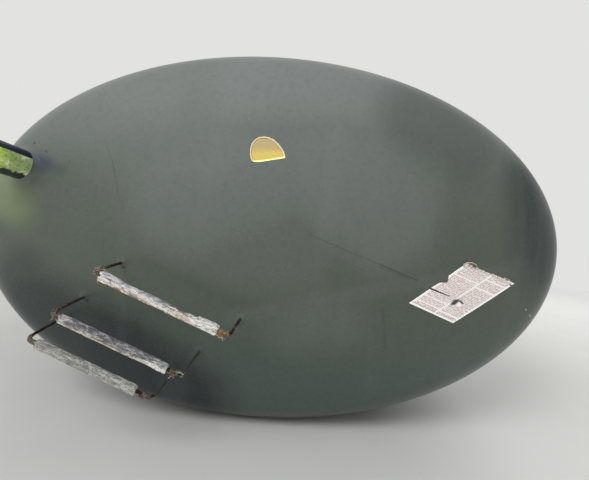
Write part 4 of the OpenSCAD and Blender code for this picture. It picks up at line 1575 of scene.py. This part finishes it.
# The torn sheet: its corners on the front end, right and up, in metres
SHEET_LEFT = Vector((0.531, -0.205))
SHEET_LOW = Vector((0.713, -0.275))
SHEET_RIGHT = Vector((0.954, -0.113))
SHEET_TOP = Vector((0.741, -0.047))


def sheet_spot(s, t):
    """Place on the front end of a place on the sheet, s across its rows and t up its page."""
    return (SHEET_LEFT * (1 - s) + SHEET_LOW * s) * (1 - t) + (SHEET_TOP * (1 - s) + SHEET_RIGHT * s) * t


def torn_away(s, t):
    """Whether the sheet is missing at a place of its page."""
    rag = 0.014 * (ripple(91, s * 26, t * 18) - 0.5) + 0.010 * (ripple(92, s * 80, t * 60) - 0.5)
    far_edge = 0.990 - 0.014 * max(0, 1 - abs(s - 0.36) / 0.2) + 1.6 * rag
    bite = 0.105 * max(0, min((t - 0.511) / 0.056, (0.672 - t) / 0.105)) + rag * 0.4 * (t > 0.5)
    slit = s < 0.40 and abs(t - 0.360 - 0.022 * s) < 0.0165 * (1 - s / 0.60) + rag * 0.3
    nick = s > 0.955 and abs(t - 0.938) < 0.011
    return t > far_edge or s < bite or slit or nick


class TANK_OT_sheet(bpy.types.Operator):
    """Builds the torn paper sheet that is stuck on the front end"""

    bl_idname = "tank.sheet"
    bl_label = "Torn sheet"

    def execute(self, context):
        deselect()
        bpy.ops.mesh.primitive_grid_add(x_subdivisions=150, y_subdivisions=240, size=1)
        sheet = bpy.context.object
        sheet.name = sheet.data.name = "torn_sheet"
        place(sheet, Matrix.Translation((0.5, 0.5, 0)))
        with editing(sheet) as mesh:
            pick(mesh, "faces", lambda f: torn_away(*f.calc_center_median()[:2]))
            bpy.ops.mesh.delete(type="FACE")

        def stuck(p):
            s, t = p.x, p.y
            u, v = sheet_spot(s, t)
            top_curl = 0.009 * ease(t - 0.25 * s, 0.90, 1.0) ** 2
            side_curl = 0.004 * ease(hypot(s, t - 0.55), 0.14, 0.02)
            bubble = 0.0007 * ripple(93, s * 7, t * 9)
            return front_point(u, v, sizes().sheet_lift + top_curl + side_curl + bubble)

        sculpt(sheet, stuck)
        modify(sheet, "SOLIDIFY", thickness=0.0003, offset=0)
        paint(sheet, finish(paper_finish))
        hand_over(sheet, "white_laminate")
        shreds = []
        for spots, thick, maker in SHREDS:
            points = [front_point(*sheet_spot(s, t), lift) for s, t, lift in spots]
            shreds.append(strand("shred", points, thick, finish(maker), Matrix.Identity(4)))
        hand_over(joined("paper_shreds", shreds), "white_laminate", angle=60)
        return {"FINISHED"}


# Curled shreds at the sheet's torn corner: places across and up the page with their lift, thickness, finish
SHREDS = (
    (((0.02, 0.92, 0.003), (-0.03, 0.955, 0.007), (-0.03, 0.995, 0.012), (0.02, 1.025, 0.016),
      (0.10, 1.020, 0.015), (0.18, 0.995, 0.009), (0.25, 0.975, 0.004)), 0.0030, white_fibre),
    (((0.25, 0.975, 0.004), (0.33, 0.985, 0.007), (0.40, 0.975, 0.004)), 0.0014, white_fibre),
    (((0.03, 0.975, 0.010), (0.08, 0.995, 0.013), (0.13, 0.975, 0.010), (0.10, 0.955, 0.008)),
     0.0022, tan_fibre),
    (((0.10, 0.985, 0.010), (0.16, 0.970, 0.012), (0.20, 0.955, 0.008)), 0.0026, dark_fibre),
    (((0.48, 0.985, 0.004), (0.55, 1.006, 0.008), (0.62, 0.998, 0.005)), 0.0022, tan_fibre),
    (((0.60, 1.000, 0.004), (0.68, 1.010, 0.008), (0.76, 0.990, 0.004)), 0.0022, dark_fibre),
    (((0.74, 1.000, 0.004), (0.82, 1.008, 0.007), (0.90, 0.992, 0.004)), 0.0024, white_fibre),
)


# Fittings

# Play of a ring on its pipe, wall of the nozzles, height of the collars and the patches, top of the barrel
PLAY = 0.0002
NOZZLE_WALL = 0.008
RAISED = 0.008
TOP_Z = AXIS_Z + HALF_H

# From a bore's rim to the circle of its bolts, and breadth of a collar
MANWAY_CIRCLE = 0.052
NOZZLE_CIRCLE = 0.040
MANWAY_COLLAR = 0.070
NOZZLE_COLLAR = 0.0398

# The manway's cover: thickness of its plate, half the span and the radius of its handle
COVER_T = 0.020
HANDLE_SPAN = 0.0698
HANDLE_R = 0.007

# Bolts: radius of the hole, width across the flats, heights of the head and the nut
M20 = (0.011, 0.030, 0.0125, 0.016)
M16 = (0.009, 0.024, 0.010, 0.013)


def round_corners(low, high, bore, rim, chamfer=0.0015):
    """Profile of a ring or, with no bore, of a disc, with its edges taken off."""
    outside = [(rim - chamfer, low), (rim, low + chamfer), (rim, high - chamfer), (rim - chamfer, high)]
    if bore == 0:
        return [(0, low)] + outside + [(0, high)]
    inside = [(bore, high - chamfer), (bore, low + chamfer), (bore + chamfer, low)]
    return outside + [(bore + chamfer, high)] + inside


def turned_profile(name, profile, sides=96, loop=True):
    """A round piece from radii and heights."""
    return turned(name, [(r, r, z) for r, z in profile], sides=sides, loop=loop)


def bolt_places(count, radius):
    """Places of a ring of bolts."""
    turns = [(k + 0.5) * FULL / count for k in range(count)]
    return [(radius * cos(turn), radius * sin(turn)) for turn in turns]


def drilled_plate(name, thick, bore, rim, chamfer, holes, sides=96):
    """A ring or disc from the ground up, with holes of number, circle and radius."""
    plate = turned_profile(name, round_corners(0, thick, bore, rim, chamfer), sides, bore > 0)
    return drill(plate, thick, *holes)


def drill(plate, thick, count, circle, hole):
    """Cuts a ring of bolt holes through a plate that lies on the ground."""
    for x, y in bolt_places(count, circle):
        drill_bit = round_cutter(hole, -0.01, thick + 0.01, 24)
        place(drill_bit, Matrix.Translation((x, y, 0)))
        cut(plate, drill_bit)
    return plate


def pipe_profile(bore, wall, steps, shoulder):
    """Radii and shares of height of a pipe, with the edges of its mouth taken off from a shoulder up."""
    climb = [k / steps for k in range(steps)] + [shoulder, 1.0]
    outside = [(bore + wall - 0.0012 * (k == 1.0), k) for k in climb]
    inside = [(bore + 0.0012 * (k == 1.0), k) for k in reversed(climb)]
    return outside + inside


def neck(name, node, y, bore, wall, top):
    """A pipe on top of the barrel, with its foot cut to the shell."""
    pipe = turned_profile(name, pipe_profile(bore, wall, 10, 0.985))

    def seated(p):
        foot = AXIS_Z + shell_height(p.x)
        outside = p.z < 0.9 and hypot(p.x, p.y) > bore + 0.002
        k = 1 - 0.004 * outside * ripple(y + 3, p.x * 9, p.y * 9, p.z * 3)
        return Vector((p.x * k, p.y * k + y, foot + (top - foot) * p.z))

    sculpt(pipe, seated)
    paint(pipe, finish(tank_gelcoat))
    return hand_over(pipe, "green_laminate", node)


def collar_profile(inner, broad):
    """Radii and heights of a laminated collar, thin at its edge."""
    rim = broad - inner
    slope = [(broad - rim * 0.25, RAISED * 0.42), (broad - rim * 0.5, RAISED * 0.72)]
    crest = [(broad - rim * 0.75, RAISED * 0.92), (inner + rim * 0.08, RAISED), (inner, RAISED)]
    return [(inner, 0), (broad, 0), (broad - rim * 0.06, 0.0012)] + slope + crest


def collar(name, node, inner, rim, seat, seed):
    """A laminated collar round a pipe, laid on the surface that a seat gives."""
    piece = turned_profile(name, collar_profile(inner, inner + rim))

    def laid(p):
        turn = atan2(p.y, p.x)
        share = (hypot(p.x, p.y) - inner) / rim
        shrink = 1 - rim / (inner + rim) * 0.22 * share * ripple(seed, cos(turn) * 4, sin(turn) * 4)
        lift = p.z * (1 - 0.25 * ripple(seed + 1, p.x * 30, p.y * 30))
        return seat(p.x * shrink, p.y * shrink, lift)

    sculpt(piece, laid)
    tidy(piece)
    paint(piece, finish(band_laminate))
    return hand_over(piece, "band_laminate", node)


def hex_bolt(name, size, grip):
    """A hex bolt with two washers and a nut round a grip, its grip's underside at the origin."""
    hole, across, head, nut = size

    def hexagon(low, high, top_edge, low_edge):
        r = across / sqrt(3)
        below = [(0, low), (r - low_edge, low), (r, low + low_edge)]
        above = [(r, high - top_edge), (r - top_edge * 1.7, high), (0, high)]
        return turned_profile("hexagon", below + above, 6, False)

    def ring(low, high):
        return turned_profile("washer", round_corners(low, high, hole * 0.93, across * 0.61, 0.0004), 40)

    shank = hole * 0.90
    tip = -0.003 - nut - 0.006
    steps = 8
    thread = [(shank - 0.0010 * (k % 2), tip + 0.001 + (0.0055 / steps) * k) for k in range(steps + 1)]
    plain = [(shank, tip + 0.010), (shank, grip + 0.004), (0, grip + 0.004)]
    profile = [(0, tip), (shank - 0.0016, tip)] + thread + plain
    parts = [
        hexagon(grip + 0.003, grip + 0.003 + head, 0.0016, 0.0002),
        hexagon(-0.003 - nut, -0.003, 0.0012, 0.0012),
        ring(grip, grip + 0.003), ring(-0.003, 0),
        turned_profile("shank", profile, 24, False),
    ]
    return joined(name, parts)


def bolt_ring(name, bolt, count, radius, y, z):
    """A ring of bolts, each turned its own way, as one piece."""
    bolts = []
    for k, (x, along) in enumerate(bolt_places(count, radius)):
        turn = Matrix.Rotation(FULL * ripple(int(radius * 100), k * 1.9), 4, "Z")
        bolts.append(copied(bolt, "bolt", Matrix.Translation((x, along + y, z)) @ turn))
    bpy.data.objects.remove(bolt)
    ring = joined(name, bolts)
    paint(ring, finish(zinc_steel))
    return hand_over(ring, "zinc_steel", angle=30)


class TANK_OT_manway(bpy.types.Operator):
    """Builds the manway: neck, collar, flange, gasket, domed cover, handle and bolts"""

    bl_idname = "tank.manway"
    bl_label = "Manway"

    def execute(self, context):
        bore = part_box("manway_gasket")[1].x - MANWAY_RIM
        wall = sizes().wall
        rim = bore + MANWAY_RIM
        circle = bore + MANWAY_CIRCLE
        low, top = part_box("manway_flange")[0].z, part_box("manway_flange")[1].z
        neck("way_in_neck", "manway_neck", 0, bore, wall, top)
        collar("way_in_collar", "manway_collar", bore + wall + PLAY, MANWAY_COLLAR, shell_point, 201)
        holes = (12, circle, M20[0])
        flange = drilled_plate("way_in_flange", top - low, bore + wall + PLAY, rim, 0.002, holes, 128)
        place(flange, Matrix.Translation((0, 0, low)))
        paint(flange, finish(tank_gelcoat))
        hand_over(flange, "green_laminate", "manway_flange")
        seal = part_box("manway_gasket")[1].z
        gasket = drilled_plate("way_in_gasket", seal - top, bore, rim, 0.0008, holes, 128)
        place(gasket, Matrix.Translation((0, 0, top)))
        paint(gasket, finish(black_rubber))
        hand_over(gasket, "black_rubber", "manway_gasket")
        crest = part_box("manway_cover")[1].z
        rise = crest - seal - COVER_T
        ball = (bore ** 2 + rise ** 2) / (2 * rise)
        steps = [bore * (1 - k / 14) for k in range(1, 14)]
        dome = [(r, COVER_T + rise - ball + sqrt(ball ** 2 - r ** 2)) for r in steps]
        rim_profile = round_corners(0, COVER_T, 0, rim, 0.002)[:-1]
        weld = [(bore + 0.008, COVER_T), (bore - 0.004, COVER_T + 0.0025)]
        profile = rim_profile + weld + dome + [(0, COVER_T + rise)]
        cover = turned_profile("way_in_cover", profile, 128, False)
        drill(cover, COVER_T, *holes)

        def sprung(p):
            inner = 1 - ease(hypot(p.x, p.y), bore - 0.05, bore)
            sink = 0.0012 * inner * ripple(205, p.x * 6, p.y * 6) if p.z > COVER_T + 0.001 else 0
            return Vector((p.x, p.y, p.z + seal - sink))

        sculpt(cover, sprung)
        paint(cover, finish(tank_gelcoat))
        hand_over(cover, "green_laminate", "manway_cover")
        self.handle(crest, bore, rise)
        bolt = hex_bolt("bolt_m20", M20, seal + COVER_T - low)
        bolt_ring("manway_bolts", bolt, 12, circle, 0, low)
        return {"FINISHED"}

    def handle(self, crest, bore, rise):
        """The bent bar on the cover with a weld at each foot."""
        r = HANDLE_R
        foot = crest - HANDLE_SPAN ** 2 * rise / (bore ** 2 + rise ** 2)
        bar = new_circle("cover_bar", 24, r, r, 0)
        place(bar, Matrix.Translation((-HANDLE_SPAN, 0, foot)))
        with editing(bar, everything=True):
            bpy.ops.mesh.spin(steps=40, angle=pi, center=(0, 0, foot), axis=(0, -1, 0))
        close_ends(bar)
        welds = []
        for side in (-1, 1):
            profile = [(r - 0.001, -0.002), (r + 0.005, -0.002), (r + 0.0045, 0.001),
                       (r + 0.0022, 0.0036), (r - 0.001, 0.006)]
            weld = turned_profile("weld", profile, 32)
            sculpt(weld, lambda p: p + Vector((0, 0, 0.001 * ripple(211 + side, p.x * 300, p.y * 300))))
            place(weld, Matrix.Translation((side * HANDLE_SPAN, 0, foot)))
            welds.append(weld)
        bar = joined("cover_bar", [bar] + welds)
        paint(bar, finish(zinc_steel))
        hand_over(bar, "zinc_steel", "cover_handle", angle=50)


class TANK_OT_fill_nozzle(bpy.types.Operator):
    """Builds the filling nozzle: neck, collar, flange, gasket, blind and bolts"""

    bl_idname = "tank.fill_nozzle"
    bl_label = "Filling nozzle"

    def execute(self, context):
        y = middle_of("fill_flange").y
        bore = FILL_BORE / 2
        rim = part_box("fill_flange")[1].x
        low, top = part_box("fill_flange")[0].z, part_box("fill_flange")[1].z
        seal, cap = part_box("fill_gasket")[1].z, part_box("fill_blind")[1].z
        outer = bore + NOZZLE_WALL
        circle = bore + NOZZLE_CIRCLE
        neck("filler_neck", "fill_neck", y, bore, NOZZLE_WALL, top)

        def seat(u, v, lift):
            return shell_point(u, y + v, lift)

        collar("filler_collar", "fill_collar", outer + PLAY, NOZZLE_COLLAR, seat, 221)
        layers = (
            ("filler_flange", "fill_flange", low, top, outer + PLAY, 0.0015, tank_gelcoat, "green_laminate"),
            ("filler_gasket", "fill_gasket", top, seal, bore, 0.0006, black_rubber, "black_rubber"),
            ("filler_blind", "fill_blind", seal, cap, 0, 0.0015, tank_gelcoat, "green_laminate"),
        )
        for name, node, start, end, inner, chamfer, maker, slot in layers:
            layer = drilled_plate(name, end - start, inner, rim, chamfer, (8, circle, M16[0]))
            place(layer, Matrix.Translation((0, y, start)))
            paint(layer, finish(maker))
            hand_over(layer, slot, node)
        bolt = hex_bolt("bolt_m16", M16, cap - low)
        bolt_ring("filler_bolts", bolt, 8, circle, y, low)
        return {"FINISHED"}


class TANK_OT_vent(bpy.types.Operator):
    """Builds the vent: gooseneck, collar, clamping ring and wire mesh"""

    bl_idname = "tank.vent"
    bl_label = "Vent"

    def execute(self, context):
        y = middle_of("vent_collar").y
        outer = VENT_BORE / 2 + NOZZLE_WALL
        bend = (middle_of("vent_screen").y - y) / 2
        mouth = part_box("vent_screen")[1].z
        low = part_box("vent_screen")[0].z
        pipe = new_circle("vent_gooseneck", 64, outer, outer, TOP_Z)
        place(pipe, Matrix.Translation((0, y, 0)))
        with editing(pipe, everything=True):
            extrude((0, 0, (mouth - TOP_Z) / 10), 10)
            bpy.ops.mesh.spin(steps=40, angle=pi, center=(0, y + bend, mouth), axis=(1, 0, 0))
        tidy(pipe)

        def seated(p):
            if p.y < y + outer + 0.001 and p.z < mouth:
                foot = AXIS_Z + shell_height(p.x)
                p.z = foot + (mouth - foot) * (p.z - TOP_Z) / (mouth - TOP_Z)
            return p

        sculpt(pipe, seated)
        modify(pipe, "SOLIDIFY", thickness=NOZZLE_WALL, offset=-1, use_even_offset=True)
        paint(pipe, finish(tank_gelcoat))
        hand_over(pipe, "green_laminate", "vent_pipe")

        def seat(u, v, lift):
            return shell_point(u, y + v, lift)

        collar("gooseneck_collar", "vent_collar", outer + PLAY, NOZZLE_COLLAR, seat, 231)
        bore = VENT_BORE / 2
        ring = turned_profile("clamp_ring", round_corners(low, mouth, bore, outer, 0.0012), 64)
        place(ring, Matrix.Translation((0, y + 2 * bend, 0)))
        deselect()
        bpy.ops.mesh.primitive_grid_add(x_subdivisions=22, y_subdivisions=22, size=2 * bore)
        mesh_of_wire = bpy.context.object
        with editing(mesh_of_wire) as mesh:
            pick(mesh, "faces", lambda f: f.calc_center_median().length > bore - 0.0006)
            bpy.ops.mesh.delete(type="FACE")
        modify(mesh_of_wire, "WIREFRAME", thickness=0.0006, use_replace=True)
        place(mesh_of_wire, Matrix.Translation((0, y + 2 * bend, low + 0.0012)))
        ring = joined("vent_mouth", [ring, mesh_of_wire])
        paint(ring, finish(zinc_steel))
        hand_over(ring, "zinc_steel", "vent_screen")
        return {"FINISHED"}


def rear_point(u, v, lift=0.0):
    """Place in the tank's frame at a height over the rear end's surface."""
    out = dish_normal(u, v)
    return Vector((u, RIM_Y + dish_height(u, v), AXIS_Z + v)) + lift * Vector((out.x, -out.y, out.z))


class TANK_OT_outlet(bpy.types.Operator):
    """Builds the outlet low on the rear end: neck, collar and drilled flange"""

    bl_idname = "tank.outlet"
    bl_label = "Outlet"

    def execute(self, context):
        low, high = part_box("outlet_flange")
        up = (low.z + high.z) / 2 - AXIS_Z
        bore = OUTLET_BORE / 2
        pipe = turned_profile("drain_neck", pipe_profile(bore, NOZZLE_WALL, 12, 0.99))

        def seated(p):
            foot = rear_point(p.x, up + p.y)
            return Vector((p.x, foot.y + (high.y - foot.y) * p.z, foot.z))

        sculpt(pipe, seated)
        tidy(pipe)
        paint(pipe, finish(tank_gelcoat))
        hand_over(pipe, "green_laminate", "outlet_neck")

        def seat(u, v, lift):
            return rear_point(u, up + v, lift)

        sleeve = bore + NOZZLE_WALL + PLAY
        collar("drain_collar", "outlet_collar", sleeve, NOZZLE_COLLAR, seat, 241)
        holes = (8, bore + NOZZLE_CIRCLE, M16[0])
        flange = drilled_plate("drain_flange", high.y - low.y, sleeve, high.x, 0.0015, holes)
        place(flange, Matrix.Translation((0, low.y, AXIS_Z + up)) @ Matrix.Rotation(-pi / 2, 4, "X"))
        paint(flange, finish(tank_gelcoat))
        hand_over(flange, "green_laminate", "outlet_flange")
        return {"FINISHED"}


# A lug: radii of its head and its eye, and the line of its spreading side across, up and from the eye
LUG_HEAD = 0.040
LUG_EYE = 0.020
LUG_SIDE = (75.1, 50.6, 2.6098)


class TANK_OT_lugs(bpy.types.Operator):
    """Builds the four lifting lugs and their laminated patches"""

    bl_idname = "tank.lugs"
    bl_label = "Lifting lugs"

    def execute(self, context):
        patches = []
        for side, across in ((-1, "left"), (1, "right")):
            for end, along in ((-1, "front"), (1, "rear")):
                node = f"lug_{along}_{across}"
                middle = middle_of(node)
                self.lug(f"eye_plate_{along}_{across}", node, middle)
                patches.append(self.patch(f"patch_{along}_{across}", middle, 5 * side + end))
        patch = joined("lug_patches", patches)
        paint(patch, finish(band_laminate))
        hand_over(patch, "band_laminate", "lug_pads")
        return {"FINISHED"}

    def lug(self, name, node, middle):
        """A plate with an eye on sides that spread to its foot, on the curve of its patch."""
        low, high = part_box(node)
        half_t = (high.x - low.x) / 2
        eye_z = high.z - LUG_HEAD
        aside, upward, apart = LUG_SIDE
        c = 0.0012
        rings = [(1.0, -half_t + c), (1.06, -half_t), (1.94, -half_t), (2.0, -half_t + c), (2.0, half_t - c),
                 (1.94, half_t), (1.06, half_t), (1.0, half_t - c)]
        plate = turned_profile(name, rings, 144)

        def shaped(p):
            share = hypot(p.x, p.y) - 1
            way_y, way_z = p.x / (share + 1), p.y / (share + 1)
            x = middle.x + p.z
            foot = eye_z - AXIS_Z - shell_height(x) - RAISED / (shell_height(x) / HALF_H)
            reach = LUG_HEAD
            if way_z < -0.17:
                spread = max(aside * abs(way_y) + upward * way_z, 0.01)
                reach = min(apart / spread, foot / -way_z)
            r = LUG_EYE + (reach - LUG_EYE) * share
            return Vector((x, middle.y + r * way_y, eye_z + r * way_z))

        sculpt(plate, shaped)
        tidy(plate)
        paint(plate, finish(zinc_steel))
        hand_over(plate, "zinc_steel", node, angle=35)

    def patch(self, name, middle, seed):
        """Laminate under a lug, with rounded corners and a thin edge."""
        below = [(0, -0.05), (0.5, -0.05), (1.0, -0.05)]
        slope = [(1.0, 0.0), (0.985, 0.15), (0.95, 0.55), (0.88, 0.85), (0.78, 0.97)]
        top = [(0.62, 1.0), (0.46, 1.0), (0.30, 1.0), (0.14, 1.0), (0, 1.0)]
        patch = turned_profile(name, below + slope + top, 112, False)

        def laid(p):
            r, turn = hypot(p.x, p.y), atan2(p.y, p.x)
            k = (abs(cos(turn)) ** 6 + abs(sin(turn)) ** 6) ** (-1 / 6)
            grow = r * k * (1 - 0.05 * r ** 3 * ripple(seed + 250, cos(turn) * 3, sin(turn) * 3))
            lift = max(p.z, 0) * RAISED * (1 - 0.12 * ripple(seed + 260, p.x * 3, p.y * 8))
            x = middle.x + 0.048 * grow * cos(turn)
            y = middle.y + 0.130 * grow * sin(turn)
            return shell_point(x, y, lift)

        sculpt(patch, laid)
        tidy(patch)
        return patch


# The stage

KEY_POWER = 260.0
FILL_POWER = 240.0
ROOM_LIGHT = 0.62
CAMERA_LENS = 19.31
CAMERA_SPOT = (0.1024, -3.231, 0.751)
CAMERA_ROLL = radians(3.8)


class TANK_OT_stage(bpy.types.Operator):
    """Builds the pale floor, the world, the lamps and the camera"""

    bl_idname = "tank.stage"
    bl_label = "Stage"

    def execute(self, context):
        deselect()
        bpy.ops.mesh.primitive_circle_add(vertices=96, radius=60, fill_type="NGON", location=(0, 0, -0.001))
        floor = bpy.context.object
        floor.name = floor.data.name = "floor"
        floor.data.materials.append(floor_finish())
        world = bpy.data.worlds.new("pale room")
        context.scene.world = world
        world.use_nodes = True
        pale_world(world.node_tree)
        lamp("key", (-3.5, -6.0, 5.5), (0, -1.5, 0.7), 4.0, KEY_POWER)
        lamp("fill", (5.0, 2.0, 5.5), (0, 0.5, 0.7), 5.0, FILL_POWER)
        camera = bpy.data.cameras.new("camera")
        camera.lens = CAMERA_LENS
        camera.sensor_width = 36
        view = bpy.data.objects.new("camera", camera)
        view.location = CAMERA_SPOT
        view.rotation_euler = (pi / 2, -CAMERA_ROLL, 0)
        context.scene.collection.objects.link(view)
        context.scene.camera = view
        context.scene.view_settings.view_transform = "Standard"
        return {"FINISHED"}


def lamp(name, spot, aim, breadth, power):
    """A square soft light that looks at a place."""
    light = bpy.data.lights.new(name, "AREA")
    light.shape = "SQUARE"
    light.size = breadth
    light.energy = power
    holder = bpy.data.objects.new(name, light)
    holder.location = spot
    holder.rotation_euler = (Vector(aim) - Vector(spot)).to_track_quat("-Z", "Y").to_euler()
    holder.visible_glossy = False
    bpy.context.scene.collection.objects.link(holder)


def pale_world(tree):
    """A pale room: white to look at, plainer as light."""
    shader = Shader(tree)
    rays = shader.node("ShaderNodeLightPath").socket.node.outputs
    kinds = ("Camera", "Glossy", "Transmission")
    camera, gloss, glass = [Value(shader, rays[f"Is {kind} Ray"]) for kind in kinds]
    strength = camera.or_more(gloss).or_more(glass) * (1 - ROOM_LIGHT) + ROOM_LIGHT
    back = shader.node("ShaderNodeBackground", inputs={"Color": colour("floor"), "Strength": strength})
    shader.node("ShaderNodeOutputWorld", inputs={"Surface": back})


def floor_finish():
    """Pale floor that keeps the shadow near the tank and fades into the room."""
    f = Finish("floor")
    grain = f.noise(3.0, 3.0, seed=1.0)
    tone = f.mix(f.ease(grain, 0.4, 0.7) * 0.10, colour("floor"), darker(colour("floor"), 0.8))
    away = f.node("ShaderNodeVectorMath", {"operation": "LENGTH"}, {0: f.place}, "Value")
    far = f.ease(away, 3.5, 9.0)
    near = f.node("ShaderNodeBsdfDiffuse", inputs={"Color": tone})
    glow = f.node("ShaderNodeEmission", inputs={"Color": colour("floor")})
    both = f.node("ShaderNodeMixShader", inputs={0: far, 1: near, 2: glow})
    f.node("ShaderNodeOutputMaterial", inputs={"Surface": both})
    return f.material


OPERATORS = (
    TANK_OT_front_end, TANK_OT_rear_end, TANK_OT_barrel, TANK_OT_joint_bands, TANK_OT_rungs,
    TANK_OT_side_stub, TANK_OT_sheet, TANK_OT_manway, TANK_OT_fill_nozzle, TANK_OT_vent, TANK_OT_outlet,
    TANK_OT_lugs, TANK_OT_stage,
)


class TANK_PT_panel(bpy.types.Panel):
    """Lists the tank's operators in the sidebar"""

    bl_label = "Oval tank"
    bl_idname = "TANK_PT_panel"
    bl_space_type = "VIEW_3D"
    bl_region_type = "UI"
    bl_category = "Tank"

    def draw(self, context):
        for operator in OPERATORS:
            self.layout.operator(operator.bl_idname)


CLASSES = (TankSizes, TankColours) + OPERATORS + (TANK_PT_panel,)


def register():
    """Makes the classes and the settings known."""
    for one in CLASSES:
        bpy.utils.register_class(one)
    bpy.types.Scene.tank_sizes = bpy.props.PointerProperty(type=TankSizes)
    bpy.types.Scene.tank_colours = bpy.props.PointerProperty(type=TankColours)


def unregister():
    """Takes them away again."""
    del bpy.types.Scene.tank_colours
    del bpy.types.Scene.tank_sizes
    for one in reversed(CLASSES):
        bpy.utils.unregister_class(one)


def main():
    """Builds everything in order."""
    register()
    for operator in OPERATORS:
        group, name = operator.bl_idname.split(".")
        getattr(getattr(bpy.ops, group), name)()


if __name__ == "__main__":
    main()
